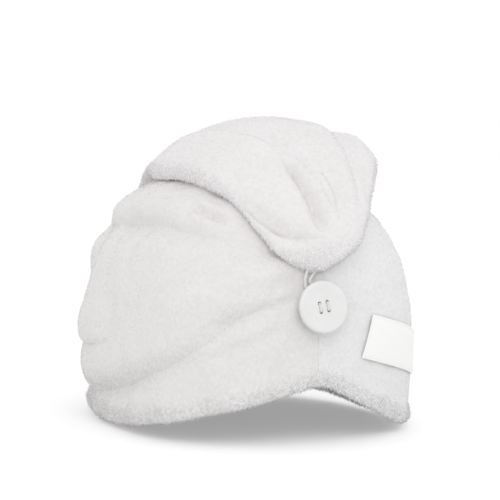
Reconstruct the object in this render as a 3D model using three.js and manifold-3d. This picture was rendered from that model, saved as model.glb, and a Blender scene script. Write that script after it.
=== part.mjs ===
// A hair turban towel: a plush hood with a rolled hem, whose long tail is twisted, brought over
// the crown from the forehead and held above the nape by an elastic loop on a button.
// Millimetres, +Z up. The wearer faces -Y, so the nape seam is at +Y and the wearer's left is +X.
// The origin is the middle of the head opening, at the height of the lowest hem.

import * as THREE from 'three';
import { mergeVertices } from 'three/addons/utils/BufferGeometryUtils.js';
import Module from 'manifold-3d';

// Crown: outer sizes over the pile
const crownHalfWidth = 88;
const crownHalfLength = 108;
const crownHeight = 148;
const widestHeight = 50;
const hemTuck = 3;
const napeFullness = 2.9;
const browFullness = 2.2;
const domeFullness = 2.25;

// Cloth: plush with pile on both faces, and a hem that is rolled once
const clothWall = 3.5;
const hemThick = 7.5;
const hemHeight = 13;
const hemSwell = 1.2;
const hemRise = 29;
const foldRise = 7;

// Tail: how high the twist stands on top of the crown, and how deep its folds are
const tailThick = 26;
const tailFoldRise = 5;
const tailFullness = 2.7;

// Button, its thread and the loop that hooks round it
const buttonDiameter = 29;
const buttonThick = 3.8;
const buttonEdge = 1.1;
const buttonHeight = 69.5;
const buttonHoleDiameter = 2.6;
const buttonHoleSpacing = 5.2;
const buttonTurn = 9;
const threadDiameter = 1.5;
const threadBar = 0.9;
const shankDiameter = 5;
const shankLength = 3.6;
const loopDiameter = 1.8;

// Label
const labelLength = 50;
const labelWidth = 25;
const labelThick = 0.5;
const labelAround = -30;
const labelHeight = 45;
const labelTilt = 17;

// Clearances between pieces
const seamGap = 0.3;
const pieceGap = 0.3;

// Mesh density
const crownColumns = 72;
const hemRows = 4;
const tailRings = 41;
const tailSides = 30;

// The hem line round the opening: angle from the nape towards the wearer's left, and the
// rise above the lowest hem as a share of hemRise.
const hemLine = [
  { around: -180, rise: 0.4 },
  { around: -130, rise: 0.2 },
  { around: -90, rise: 0.0 },
  { around: -60, rise: 0.02 },
  { around: -36, rise: 0.1 },
  { around: -28, rise: 0.24 },
  { around: -14, rise: 0.66 },
  { around: -3, rise: 0.98 },
  { around: 3, rise: 0.98 },
  { around: 15, rise: 0.78 },
  { around: 32, rise: 0.52 },
  { around: 49, rise: 0.28 },
  { around: 77, rise: 0.06 },
  { around: 100, rise: 0.04 },
  { around: 130, rise: 0.16 },
  { around: 180, rise: 0.4 },
];

// The lower edge of the big side roll, which the rows of cloth follow: height is a share of
// crownHeight and rise how far the cloth stands out above the line, as a share of foldRise.
const rollLine = [
  { around: -180, height: 0.26, rise: 0 },
  { around: -100, height: 0.3, rise: 0 },
  { around: -40, height: 0.38, rise: 0 },
  { around: 0, height: 0.5, rise: 0 },
  { around: 8, height: 0.5, rise: 0.02 },
  { around: 17, height: 0.472, rise: 0.3 },
  { around: 25, height: 0.43, rise: 0.4 },
  { around: 33, height: 0.35, rise: 0.45 },
  { around: 46, height: 0.25, rise: 0.5 },
  { around: 65, height: 0.163, rise: 0.55 },
  { around: 82, height: 0.118, rise: 0.62 },
  { around: 110, height: 0.084, rise: 0.7 },
  { around: 140, height: 0.13, rise: 0.45 },
  { around: 168, height: 0.22, rise: 0.1 },
  { around: 180, height: 0.26, rise: 0 },
];
const rollShare = 0.16;

// The line under the soft ridge below the tail, in the same way, and the height of the line
// above which the tail covers the crown.
const ridgeLine = [
  { around: -180, height: 0.72, rise: 0 },
  { around: -60, height: 0.7, rise: 0 },
  { around: 0, height: 0.68, rise: 0 },
  { around: 16, height: 0.69, rise: 0.05 },
  { around: 28, height: 0.72, rise: 0.4 },
  { around: 45, height: 0.757, rise: 0.55 },
  { around: 63, height: 0.777, rise: 0.6 },
  { around: 90, height: 0.765, rise: 0.75 },
  { around: 120, height: 0.74, rise: 0.65 },
  { around: 150, height: 0.72, rise: 0 },
  { around: 180, height: 0.72, rise: 0 },
];
const ridgeShare = 0.11;
const coverShare = 0.935;

// Rows of cloth between those lines, from the hem to the top
const rowsToRoll = 5;
const rowsToRidge = 9;
const rowsToCover = 3;
const rowsToTop = 3;
const rollRowPacking = 1.3;

// Folds of the crown, each a bow from one point to another, drawn towards the one between them.
// Angles are degrees from the nape towards the wearer's left, heights and breadths are shares of
// crownHeight, and rise is a share of foldRise.
const crownFolds = [
  {
    form: 'shelf', rise: 0.6, breadth: 0.17,
    from: { angle: 74, height: 0.34 }, via: { angle: 112, height: 0.2 }, to: { angle: 166, height: 0.34 },
  },
  {
    form: 'ridge', rise: 0.35, breadth: 0.05,
    from: { angle: 5, height: 0.6 }, via: { angle: 20, height: 0.55 }, to: { angle: 52, height: 0.46 },
  },
  {
    form: 'ridge', rise: 0.3, breadth: 0.07,
    from: { angle: 72, height: 0.66 }, via: { angle: 90, height: 0.56 }, to: { angle: 118, height: 0.5 },
  },
  {
    form: 'ridge', rise: 0.8, breadth: 0.08,
    from: { angle: 122, height: 0.7 }, via: { angle: 148, height: 0.6 }, to: { angle: 170, height: 0.22 },
  },
  {
    form: 'ridge', rise: 0.7, breadth: 0.08,
    from: { angle: -170, height: 0.2 }, via: { angle: -150, height: 0.3 }, to: { angle: -104, height: 0.16 },
  },
  {
    form: 'ridge', rise: 0.7, breadth: 0.1,
    from: { angle: -168, height: 0.36 }, via: { angle: -140, height: 0.62 }, to: { angle: -88, height: 0.56 },
  },
];

// The tail from the nape over the crown to the forehead: over is the angle from the nape up and
// over the head, left and right the reach as angles to each side, and thick a share of tailThick.
const tailStations = [
  { over: 21, left: 1.5, right: 1.5, thick: 0.35 },
  { over: 23, left: 6.5, right: 6, thick: 0.48 },
  { over: 27, left: 11.6, right: 11.7, thick: 0.58 },
  { over: 31, left: 13.7, right: 15, thick: 0.66 },
  { over: 37, left: 16, right: 18.5, thick: 0.78 },
  { over: 45, left: 18, right: 21.5, thick: 0.9 },
  { over: 59, left: 23.5, right: 28.5, thick: 1.0 },
  { over: 75, left: 29, right: 33, thick: 1.0 },
  { over: 92, left: 31, right: 32, thick: 0.95 },
  { over: 110, left: 26, right: 29, thick: 0.8 },
  { over: 128, left: 21, right: 24, thick: 0.68 },
  { over: 143, left: 20, right: 21, thick: 0.66 },
  { over: 160, left: 19, right: 19, thick: 0.68 },
  { over: 176, left: 20, right: 20, thick: 0.64 },
  { over: 187, left: 18, right: 18, thick: 0.5 },
  { over: 192, left: 13, right: 13, thick: 0.36 },
  { over: 195, left: 4, right: 4, thick: 0.2 },
];

// How much thicker the tail is towards the wearer's right than in its middle
const tailLean = 0.38;

// Folds of the tail: over as above, side from -1 at the right edge to 1 at the left edge, rise a
// share of tailFoldRise and breadth in millimetres.
const tailFolds = [
  {
    form: 'crease', rise: 0.9, breadth: 4,
    from: { over: 26, side: -0.15 }, via: { over: 38, side: 0.06 }, to: { over: 66, side: 0.1 },
  },
  {
    form: 'crease', rise: 0.8, breadth: 3.5,
    from: { over: 31, side: -0.42 }, via: { over: 42, side: -0.25 }, to: { over: 76, side: 0.14 },
  },
  {
    form: 'crease', rise: 1.1, breadth: 4,
    from: { over: 35, side: -0.72 }, via: { over: 46, side: -0.48 }, to: { over: 92, side: -0.55 },
  },
  {
    form: 'crease', rise: 0.8, breadth: 3.5,
    from: { over: 41, side: 0.98 }, via: { over: 28.5, side: 0.95 }, to: { over: 28, side: -0.1 },
  },
  {
    form: 'shelf', rise: 0.7, breadth: 12,
    from: { over: 54, side: 0.1 }, via: { over: 68, side: 0.42 }, to: { over: 100, side: 0.62 },
  },
  {
    form: 'crease', rise: 0.9, breadth: 4,
    from: { over: 86, side: -0.8 }, via: { over: 116, side: -0.4 }, to: { over: 150, side: 0.6 },
  },
  {
    form: 'crease', rise: 0.6, breadth: 4,
    from: { over: 100, side: 0.2 }, via: { over: 112, side: 0.6 }, to: { over: 128, side: 0.9 },
  },
  {
    form: 'crease', rise: 0.9, breadth: 4,
    from: { over: 118, side: -0.9 }, via: { over: 146, side: -0.4 }, to: { over: 174, side: 0.8 },
  },
  {
    form: 'crease', rise: 0.8, breadth: 4,
    from: { over: 148, side: -0.9 }, via: { over: 172, side: -0.3 }, to: { over: 192, side: 0.4 },
  },
];

const wasm = await Module();
wasm.setup();

const radians = THREE.MathUtils.degToRad;
const lerp = (a, b, t) => a + (b - a) * t;
const clamp = (value, low, high) => Math.min(high, Math.max(low, value));
const smooth = (t) => t * t * (3 - 2 * t);

// A smooth curve through the rows of a table: x is the column `by`, y the column `of`.
function tableValue(rows, by, of, x) {
  const last = rows.length - 1;
  const inside = clamp(x, rows[0][by], rows[last][by]);
  let i = 0;
  while (i < last - 1 && inside > rows[i + 1][by]) i += 1;
  const slopeAt = (k) => {
    const before = rows[Math.max(0, k - 1)];
    const after = rows[Math.min(last, k + 1)];
    return (after[of] - before[of]) / (after[by] - before[by]);
  };
  const span = rows[i + 1][by] - rows[i][by];
  const t = (inside - rows[i][by]) / span;
  const t2 = t * t;
  const t3 = t2 * t;
  return (
    (2 * t3 - 3 * t2 + 1) * rows[i][of] +
    (t3 - 2 * t2 + t) * span * slopeAt(i) +
    (3 * t2 - 2 * t3) * rows[i + 1][of] +
    (t3 - t2) * span * slopeAt(i + 1)
  );
}

// Plan of the crown: the distance from the axis to the widest wall at an angle from the nape.
// The back is squarer than the brow.
function planRadius(angle) {
  const across = Math.abs(Math.sin(angle)) / crownHalfWidth;
  const along = Math.abs(Math.cos(angle)) / crownHalfLength;
  const fullness = Math.cos(angle) > 0 ? napeFullness : browFullness;
  return (across ** fullness + along ** fullness) ** (-1 / fullness);
}

const hemLevel = (degrees) => hemRise * tableValue(hemLine, 'around', 'rise', degrees);

// The meridian runs from the opening to the top of the crown: a millimetre of height up to
// the widest level, then a share of the dome's quarter turn.
const domeLength = 1.35 * (crownHeight - widestHeight);
const meridianEnd = widestHeight + domeLength;

function meridianAt(height) {
  if (height <= widestHeight) return height;
  const up = (height - widestHeight) / (crownHeight - widestHeight);
  return widestHeight + (domeLength * Math.asin(up ** (domeFullness / 2))) / (Math.PI / 2);
}

// A point of the plain crown at an angle from the nape and a place on the meridian.
function plainCrown(degrees, meridian) {
  const angle = radians(degrees);
  let height = meridian;
  let share = 1 - (hemTuck / crownHalfWidth) * ((widestHeight - meridian) / widestHeight) ** 2;
  if (meridian > widestHeight) {
    const rise = (Math.PI / 2) * Math.min(1, (meridian - widestHeight) / domeLength);
    height = widestHeight + (crownHeight - widestHeight) * Math.sin(rise) ** (2 / domeFullness);
    share = Math.max(0, Math.cos(rise)) ** (2 / domeFullness);
  }
  const reach = planRadius(angle) * share;
  return new THREE.Vector3(reach * Math.sin(angle), reach * Math.cos(angle), height);
}

// The rows of cloth as places on the meridian at an angle, from the hem to the top.
const crownRows = rowsToRoll + rowsToRidge + rowsToCover + rowsToTop;

function meridianOfRow(degrees, row) {
  const onLine = (rows) => meridianAt(crownHeight * tableValue(rows, 'around', 'height', degrees));
  const lines = [
    { row: 0, at: meridianAt(hemLevel(degrees)) },
    { row: rowsToRoll, at: onLine(rollLine) },
    { row: rowsToRoll + rowsToRidge, at: onLine(ridgeLine) },
    { row: crownRows - rowsToTop, at: meridianAt(crownHeight * coverShare) },
    { row: crownRows, at: meridianEnd },
  ];
  let i = 0;
  while (i < lines.length - 2 && row > lines[i + 1].row) i += 1;
  const t = (row - lines[i].row) / (lines[i + 1].row - lines[i].row);
  return lerp(lines[i].at, lines[i + 1].at, i === 1 ? t ** rollRowPacking : t);
}

// The outward normal of the plain crown, from its neighbours.
function crownNormal(degrees, meridian) {
  const place = Math.min(meridian, meridianEnd - 0.5);
  const around = plainCrown(degrees + 0.5, place).sub(plainCrown(degrees - 0.5, place));
  const up = plainCrown(degrees, place + 0.4).sub(plainCrown(degrees, place - 0.4));
  return up.cross(around).normalize();
}

// Profile across a fold, from the signed distance as a share of its breadth: positive is above.
const foldForms = {
  ridge: (x) => Math.exp(-x * x),
  crease: (x) => -Math.exp(-Math.abs(x)),
  shelf: (x) => (x > 0 ? 2.35 * x ** 0.45 * Math.exp(-1.35 * x ** 1.5) : 0),
};

// How far a list of folds lifts the cloth at a place on the unrolled surface, as a share of the
// full rise. Each fold is a bow from its first to its last point, drawn towards the middle one.
function foldHeight(folds, x, y) {
  const steps = 14;
  let total = 0;
  for (const fold of folds) {
    let best = Infinity;
    let along = 0;
    let side = 1;
    let p = fold.from;
    for (let i = 1; i <= steps; i += 1) {
      const t = i / steps;
      const q = fold.from.clone().lerp(fold.via, t).lerp(fold.via.clone().lerp(fold.to, t), t);
      const d = q.clone().sub(p);
      const s = clamp(((x - p.x) * d.x + (y - p.y) * d.y) / d.lengthSq(), 0, 1);
      const distance = Math.hypot(x - p.x - s * d.x, y - p.y - s * d.y);
      if (distance < best) {
        best = distance;
        along = (i - 1 + s) / steps;
        side = (d.x * (y - p.y) - d.y * (x - p.x)) * d.x < 0 ? -1 : 1;
      }
      p = q;
    }
    const ends = smooth(clamp(along / 0.3, 0, 1)) * smooth(clamp((1 - along) / 0.3, 0, 1));
    total += fold.rise * ends * foldForms[fold.form]((side * best) / fold.breadth);
  }
  return total;
}

// The crown unrolled: millimetres round the widest level against height.
const crownMmPerDegree = radians((crownHalfWidth + crownHalfLength) / 2);
const crownPlace = ({ angle, height }) => new THREE.Vector2(angle * crownMmPerDegree, height * crownHeight);
const crownBows = crownFolds.map((fold) => ({
  ...fold,
  breadth: fold.breadth * crownHeight,
  from: crownPlace(fold.from),
  via: crownPlace(fold.via),
  to: crownPlace(fold.to),
}));

// Lift above a line that runs round the crown, measured square to the line.
function lineLift(rows, share, degrees, height) {
  const edge = (at) => crownHeight * tableValue(rows, 'around', 'height', at);
  const slope = (edge(degrees + 1) - edge(degrees - 1)) / (2 * crownMmPerDegree);
  const above = (height - edge(degrees)) / Math.hypot(1, slope);
  return tableValue(rows, 'around', 'rise', degrees) * foldForms.shelf(above / (share * crownHeight));
}

function crownPoint(degrees, meridian, offset) {
  const point = plainCrown(degrees, meridian);
  const turned = degrees > 180 ? degrees - 360 : degrees;
  const seamFade = smooth(clamp((180 - Math.abs(turned)) / 10, 0, 1));
  const folds =
    foldHeight(crownBows, turned * crownMmPerDegree, point.z) * seamFade +
    lineLift(rollLine, rollShare, turned, point.z) +
    lineLift(ridgeLine, ridgeShare, turned, point.z);
  const aboveHem = (point.z - hemLevel(turned)) / hemHeight;
  const swell = hemSwell * (1 - smooth(clamp(aboveHem, 0, 1)));
  return point.addScaledVector(crownNormal(degrees, meridian), folds * foldRise + swell + offset);
}

// A BufferGeometry from a list of points and triangles.
function geometryOf(points, faces) {
  const positions = new Float32Array(points.length * 3);
  points.forEach((p, i) => p.toArray(positions, i * 3));
  const geometry = new THREE.BufferGeometry();
  geometry.setAttribute('position', new THREE.BufferAttribute(positions, 3));
  geometry.setIndex(faces);
  return geometry;
}

function solidOf(geometry) {
  const bare = geometry.clone();
  bare.deleteAttribute('normal');
  bare.deleteAttribute('uv');
  const merged = mergeVertices(bare, 1e-4);
  return new wasm.Manifold(
    new wasm.Mesh({
      numProp: 3,
      vertProperties: merged.getAttribute('position').array,
      triVerts: new Uint32Array(merged.index.array),
    }),
  );
}

function geometryOfSolid(solid) {
  const mesh = solid.getMesh();
  const geometry = new THREE.BufferGeometry();
  geometry.setAttribute('position', new THREE.BufferAttribute(mesh.vertProperties, mesh.numProp));
  geometry.setIndex(new THREE.BufferAttribute(mesh.triVerts, 1));
  return geometry;
}

// The profile of the cloth at one angle: outside from the hem to the top, then inside back down,
// then round the rolled hem.
function clothProfile(degrees, seamX) {
  const onSeam = (p) => (seamX === null ? p : p.setX(seamX));
  const points = [];
  for (let row = 0; row <= crownRows; row += 1) {
    points.push(onSeam(crownPoint(degrees, meridianOfRow(degrees, row), 0)));
  }
  for (let row = crownRows; row >= 0; row -= 1) {
    const meridian = meridianOfRow(degrees, row);
    const above = clamp((meridian - hemLevel(degrees)) / hemHeight, 0, 1);
    const wall = lerp(clothWall, hemThick, Math.sqrt(1 - above * above));
    points.push(onSeam(crownPoint(degrees, meridian, -wall)));
  }
  const outside = crownPoint(degrees, meridianOfRow(degrees, 0), 0);
  const inside = crownPoint(degrees, meridianOfRow(degrees, 0), -hemThick);
  const middle = outside.clone().add(inside).multiplyScalar(0.5);
  const half = outside.clone().sub(middle);
  for (let i = 1; i < hemRows; i += 1) {
    const turn = Math.PI * (1 - i / hemRows);
    const p = middle.clone().addScaledVector(half, Math.cos(turn));
    p.z -= Math.sin(turn) * half.length();
    points.push(onSeam(p));
  }
  return points;
}

// One half of the hood, from the nape seam round to the brow seam.
function crownPanel(side) {
  const columns = crownColumns / 2;
  const seamX = (side * seamGap) / 2;
  const profiles = [];
  for (let i = 0; i <= columns; i += 1) {
    const degrees = (side * 180 * i) / columns;
    profiles.push(clothProfile(degrees, i === 0 || i === columns ? seamX : null));
  }
  const count = profiles[0].length;
  const outerTop = crownRows;
  const innerTop = crownRows + 1;
  const points = profiles.flat();
  const at = (i, k) => i * count + (((k % count) + count) % count);
  // All profiles share the same two points at the top.
  const index = (i, k) => (k === outerTop || k === innerTop ? at(0, k) : at(i, k));
  const faces = [];
  const face = (a, b, c) => {
    if (a === b || b === c || a === c) return;
    faces.push(...(side > 0 ? [a, b, c] : [a, c, b]));
  };
  for (let i = 0; i < columns; i += 1) {
    for (let k = 0; k < count; k += 1) {
      if (k === outerTop) continue;
      face(index(i, k), index(i, k + 1), index(i + 1, k));
      face(index(i + 1, k), index(i, k + 1), index(i + 1, k + 1));
    }
  }
  // The cut face along the seam: nape profile up and over to the brow profile.
  const napeOut = Array.from({ length: outerTop + 1 }, (_, k) => index(0, k));
  const browOut = Array.from({ length: outerTop }, (_, k) => index(columns, outerTop - 1 - k));
  const browRound = Array.from({ length: hemRows - 1 }, (_, k) => index(columns, count - 1 - k));
  const browIn = Array.from({ length: count - hemRows - outerTop }, (_, k) =>
    index(columns, count - hemRows - k),
  );
  const napeIn = Array.from({ length: count - innerTop - 1 }, (_, k) => index(0, innerTop + 1 + k));
  const outline = [...napeOut, ...browOut, ...browRound, ...browIn, ...napeIn];
  const flat = outline.map((k) => new THREE.Vector2(points[k].y, points[k].z));
  for (const [a, b, c] of THREE.ShapeUtils.triangulateShape(flat, [])) {
    const area = flat[b].clone().sub(flat[a]).cross(flat[c].clone().sub(flat[a]));
    const [p, q, r] = [outline[a], outline[b], outline[c]];
    // The seam face looks away from the panel, towards the other one.
    faces.push(...(area * side > 0 ? [p, r, q] : [p, q, r]));
  }
  return solidOf(geometryOf(points, faces));
}

// A closed solid of the crown's outside, grown by offset, to cut pieces that lie on it.
function crownEnvelope(offset) {
  const points = [];
  for (let i = 0; i < crownColumns; i += 1) {
    const degrees = (360 * i) / crownColumns;
    for (let row = 0; row < crownRows; row += 1) {
      points.push(crownPoint(degrees, meridianOfRow(degrees > 180 ? degrees - 360 : degrees, row), offset));
    }
  }
  const top = points.push(crownPoint(0, meridianEnd, offset)) - 1;
  const bottom = points.push(new THREE.Vector3(0, 0, 0)) - 1;
  const at = (i, row) => (i % crownColumns) * crownRows + row;
  const faces = [];
  for (let i = 0; i < crownColumns; i += 1) {
    faces.push(bottom, at(i, 0), at(i + 1, 0));
    for (let row = 0; row < crownRows - 1; row += 1) {
      const [a, b, c, d] = [at(i, row), at(i, row + 1), at(i + 1, row + 1), at(i + 1, row)];
      faces.push(...(i < crownColumns / 2 ? [a, b, d, d, b, c] : [a, b, c, a, c, d]));
    }
    faces.push(at(i, crownRows - 1), top, at(i + 1, crownRows - 1));
  }
  return solidOf(geometryOf(points, faces));
}

// Distance from the middle of the dome to the plain crown in a direction given by the angle over
// the head from the nape and the angle across towards the wearer's left.
function overDirection(over, across) {
  const o = radians(over);
  const a = radians(across);
  return new THREE.Vector3(Math.sin(a), Math.cos(a) * Math.cos(o), Math.cos(a) * Math.sin(o));
}

function domeRadius(direction) {
  const level = Math.hypot(direction.x, direction.y);
  const reach = planRadius(Math.atan2(direction.x, direction.y));
  const up = Math.max(0, direction.z) / (crownHeight - widestHeight);
  return ((level / reach) ** domeFullness + up ** domeFullness) ** (-1 / domeFullness);
}

// The tail unrolled: millimetres over the head against millimetres across.
const tailMmPerDegree = radians(crownHeight - widestHeight + tailThick / 2);

function tailReach(over, side) {
  return tableValue(tailStations, 'over', side > 0 ? 'left' : 'right', over);
}

const tailPlace = ({ over, side }) =>
  new THREE.Vector2(over, side * tailReach(over, side)).multiplyScalar(tailMmPerDegree);
const tailBows = tailFolds.map((fold) => ({
  ...fold,
  from: tailPlace(fold.from),
  via: tailPlace(fold.via),
  to: tailPlace(fold.to),
}));

// A point of the tail's skin: turn runs round its section, the upper half outside.
function tailPoint(over, turn) {
  const c = Math.cos(turn);
  const s = Math.sin(turn);
  const power = 2 / tailFullness;
  const side = Math.sign(c) * Math.abs(c) ** power;
  const across = side * tailReach(over, side);
  const thick = tailThick * tableValue(tailStations, 'over', 'thick', over) * (1 - tailLean * side);
  const lift = s > 0 ? lerp(0.42, 1, s ** power) : lerp(0.42, -0.25, Math.abs(s) ** power);
  const fold = foldHeight(tailBows, over * tailMmPerDegree, across * tailMmPerDegree);
  const direction = overDirection(over, across);
  const radius = domeRadius(direction) + lift * thick + Math.max(0, s) * fold * tailFoldRise;
  return direction.multiplyScalar(radius).add(new THREE.Vector3(0, 0, widestHeight));
}

function twistedTail() {
  const first = tailStations[0].over;
  const last = tailStations[tailStations.length - 1].over;
  const points = [];
  for (let i = 0; i < tailRings; i += 1) {
    const t = i / (tailRings - 1);
    const over = lerp(first, last, lerp(t * t, t, 0.7));
    for (let k = 0; k < tailSides; k += 1) {
      points.push(tailPoint(over, (2 * Math.PI * k) / tailSides));
    }
  }
  const middleOf = (ring) => {
    const sum = new THREE.Vector3();
    for (let k = 0; k < tailSides; k += 1) sum.add(points[ring * tailSides + k]);
    return sum.multiplyScalar(1 / tailSides);
  };
  const start = points.push(middleOf(0)) - 1;
  const end = points.push(middleOf(tailRings - 1)) - 1;
  const at = (i, k) => i * tailSides + (k % tailSides);
  const faces = [];
  for (let k = 0; k < tailSides; k += 1) {
    faces.push(start, at(0, k + 1), at(0, k));
    faces.push(end, at(tailRings - 1, k), at(tailRings - 1, k + 1));
    for (let i = 0; i < tailRings - 1; i += 1) {
      faces.push(at(i, k), at(i, k + 1), at(i + 1, k));
      faces.push(at(i + 1, k), at(i, k + 1), at(i + 1, k + 1));
    }
  }
  return solidOf(geometryOf(points, faces));
}

// A place on the hood near the nape: millimetres towards the wearer's left, height and offset.
function napePoint(left, height, offset) {
  return crownPoint(THREE.MathUtils.radToDeg(left / crownHalfLength), meridianAt(height), offset);
}

// The button's own frame: x towards the wearer's right, y up the cloth, z away from the head.
const buttonFrame = new THREE.Matrix4();
{
  const out = crownNormal(0, meridianAt(buttonHeight));
  const right = new THREE.Vector3(-1, 0, 0);
  const up = out.clone().cross(right);
  buttonFrame.makeBasis(right, up, out);
  buttonFrame.multiply(new THREE.Matrix4().makeRotationZ(radians(buttonTurn)));
  buttonFrame.setPosition(napePoint(0, buttonHeight, 0));
}

// A turned piece from rows of radius and height, standing on the button's frame.
function turnedPiece(rows, segments) {
  const profile = rows.map((row) => new THREE.Vector2(row.radius, row.at));
  return solidOf(new THREE.LatheGeometry(profile, segments).rotateX(Math.PI / 2));
}

function pin(diameter, from, to, x, y) {
  const radius = diameter / 2;
  const rows = [
    { radius: 0, at: from },
    { radius, at: from },
    { radius, at: to },
    { radius: 0, at: to },
  ];
  return turnedPiece(rows, 10).translate([x, y, 0]);
}

const holePlaces = [
  [-1, -1],
  [1, -1],
  [1, 1],
  [-1, 1],
].map(([x, y]) => ({ x: (x * buttonHoleSpacing) / 2, y: (y * buttonHoleSpacing) / 2 }));

const buttonBack = shankLength;
const buttonDish = 0.6;
const buttonFace = buttonBack + buttonThick - buttonDish;

function buttonSolid() {
  const radius = buttonDiameter / 2;
  const front = buttonBack + buttonThick;
  const rows = [
    { radius: 0, at: buttonBack },
    { radius: radius - buttonEdge, at: buttonBack },
    { radius: radius - 0.3 * buttonEdge, at: buttonBack + 0.3 * buttonEdge },
    { radius, at: buttonBack + buttonEdge },
    { radius, at: front - buttonEdge },
    { radius: radius - 0.3 * buttonEdge, at: front - 0.3 * buttonEdge },
    { radius: radius - buttonEdge, at: front },
    { radius: 0.82 * radius, at: front },
    { radius: 0.7 * radius, at: buttonFace },
    { radius: 0, at: buttonFace },
  ];
  let solid = turnedPiece(rows, 36);
  for (const hole of holePlaces) {
    solid = solid.subtract(pin(buttonHoleDiameter, buttonBack - 1, front + 1, hole.x, hole.y));
  }
  return solid.transform(buttonFrame.toArray());
}

// The thread: a wound shank behind the button, four strands through its holes and two stitches
// across its face.
function buttonThread() {
  const neck = buttonBack - pieceGap;
  const spread = buttonHoleSpacing * Math.SQRT1_2 + threadDiameter / 2;
  const rows = [
    { radius: 0, at: pieceGap },
    { radius: shankDiameter / 2, at: pieceGap },
    { radius: shankDiameter / 2, at: neck - 0.8 },
    { radius: spread, at: neck - 0.5 },
    { radius: spread, at: neck },
    { radius: 0, at: neck },
  ];
  let solid = turnedPiece(rows, 20);
  const top = buttonFace + pieceGap + threadBar;
  for (const hole of holePlaces) {
    solid = solid.add(pin(threadDiameter, neck - 0.2, top, hole.x, hole.y));
  }
  for (const side of [-1, 1]) {
    const bar = new THREE.BoxGeometry(threadDiameter, buttonHoleSpacing, threadBar);
    bar.translate((side * buttonHoleSpacing) / 2, 0, top - threadBar / 2);
    solid = solid.add(solidOf(bar));
  }
  return solid.transform(buttonFrame.toArray());
}

// The loop leaves the tail's tip in two strands, crosses behind the button and goes round its
// shank. left is towards the wearer's left and above is over the button's middle.
const loopPath = [
  { left: 5.0, above: 26.5 },
  { left: 5.4, above: 21.0 },
  { left: 7.8, above: 14.4 },
  { left: 6.6, above: 7.0 },
  { left: 4.3, above: 0.6 },
  { left: 2.2, above: -3.2 },
  { left: -1.9, above: -3.6 },
  { left: -4.2, above: 0.2 },
  { left: -2.4, above: 5.2 },
  { left: 1.8, above: 9.6 },
  { left: 4.9, above: 14.2 },
  { left: 1.6, above: 18.4 },
  { left: -1.6, above: 21.6 },
  { left: -1.8, above: 26.5 },
  { left: 1.6, above: 29.2 },
];

function loopTube(diameter) {
  const lift = pieceGap + 0.15 + loopDiameter / 2;
  const places = loopPath.map((row) => napePoint(row.left, buttonHeight + row.above, lift));
  const path = new THREE.CatmullRomCurve3(places, true, 'centripetal');
  return solidOf(new THREE.TubeGeometry(path, 50, diameter / 2, 6, true));
}

// The label lies on the cloth and follows its curve.
function labelSolid() {
  const columns = 12;
  const rows = 5;
  const tilt = radians(labelTilt);
  const middle = labelAround * crownMmPerDegree;
  const place = (i, j, offset) => {
    const x = labelLength * (i / columns - 0.5);
    const y = labelWidth * (j / rows - 0.5);
    const around = middle - x * Math.cos(tilt) - y * Math.sin(tilt);
    const height = labelHeight + y * Math.cos(tilt) - x * Math.sin(tilt);
    return crownPoint(around / crownMmPerDegree, meridianAt(height), offset);
  };
  const points = [];
  for (const offset of [pieceGap + 0.1, pieceGap + 0.1 + labelThick]) {
    for (let j = 0; j <= rows; j += 1) {
      for (let i = 0; i <= columns; i += 1) points.push(place(i, j, offset));
    }
  }
  const at = (layer, i, j) => (layer * (rows + 1) + j) * (columns + 1) + i;
  const faces = [];
  const quad = (a, b, c, d) => faces.push(a, b, c, a, c, d);
  for (let j = 0; j < rows; j += 1) {
    for (let i = 0; i < columns; i += 1) {
      quad(at(1, i, j), at(1, i + 1, j), at(1, i + 1, j + 1), at(1, i, j + 1));
      quad(at(0, i, j), at(0, i, j + 1), at(0, i + 1, j + 1), at(0, i + 1, j));
    }
    quad(at(0, 0, j), at(1, 0, j), at(1, 0, j + 1), at(0, 0, j + 1));
    quad(at(0, columns, j), at(0, columns, j + 1), at(1, columns, j + 1), at(1, columns, j));
  }
  for (let i = 0; i < columns; i += 1) {
    quad(at(0, i, 0), at(0, i + 1, 0), at(1, i + 1, 0), at(1, i, 0));
    quad(at(0, i, rows), at(1, i, rows), at(1, i + 1, rows), at(0, i + 1, rows));
  }
  return solidOf(geometryOf(points, faces));
}

const material = (color, roughness) => new THREE.MeshStandardMaterial({ color, roughness, metalness: 0 });
const plush = material('#ebe8e7', 0.95);
const tailPlush = material('#ece9e9', 0.95);
const resin = material('#eeecea', 0.35);
const cotton = material('#e6e3df', 0.85);
const elastic = material('#ebe9e6', 0.7);
const satin = material('#f3f2f1', 0.5);

const turban = new THREE.Group();

function addPiece(name, solid, finish) {
  const mesh = new THREE.Mesh(geometryOfSolid(solid), finish);
  mesh.name = name;
  turban.add(mesh);
}

const tail = twistedTail()
  .subtract(crownEnvelope(pieceGap + 0.2))
  .subtract(loopTube(loopDiameter + 2 * pieceGap));

addPiece('crown_left_panel', crownPanel(1), plush);
addPiece('crown_right_panel', crownPanel(-1), plush);
addPiece('twisted_tail', tail, tailPlush);
addPiece('elastic_loop', loopTube(loopDiameter), elastic);
addPiece('button', buttonSolid(), resin);
addPiece('button_thread', buttonThread(), cotton);
addPiece('label', labelSolid(), satin);

export default turban;
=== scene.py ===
# %% [markdown]
# # A hair turban towel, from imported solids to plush
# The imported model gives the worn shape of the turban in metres. This lesson keeps that shape
# and gives each piece what a solid can't have: deep pile, fine creases, thread and braid.
# The first cell loads the model as a fixed frame, so every later piece can trust its places.

# %% Load the fixed frame
import math

import bpy
import numpy as np
from mathutils import Matrix, Vector


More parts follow.
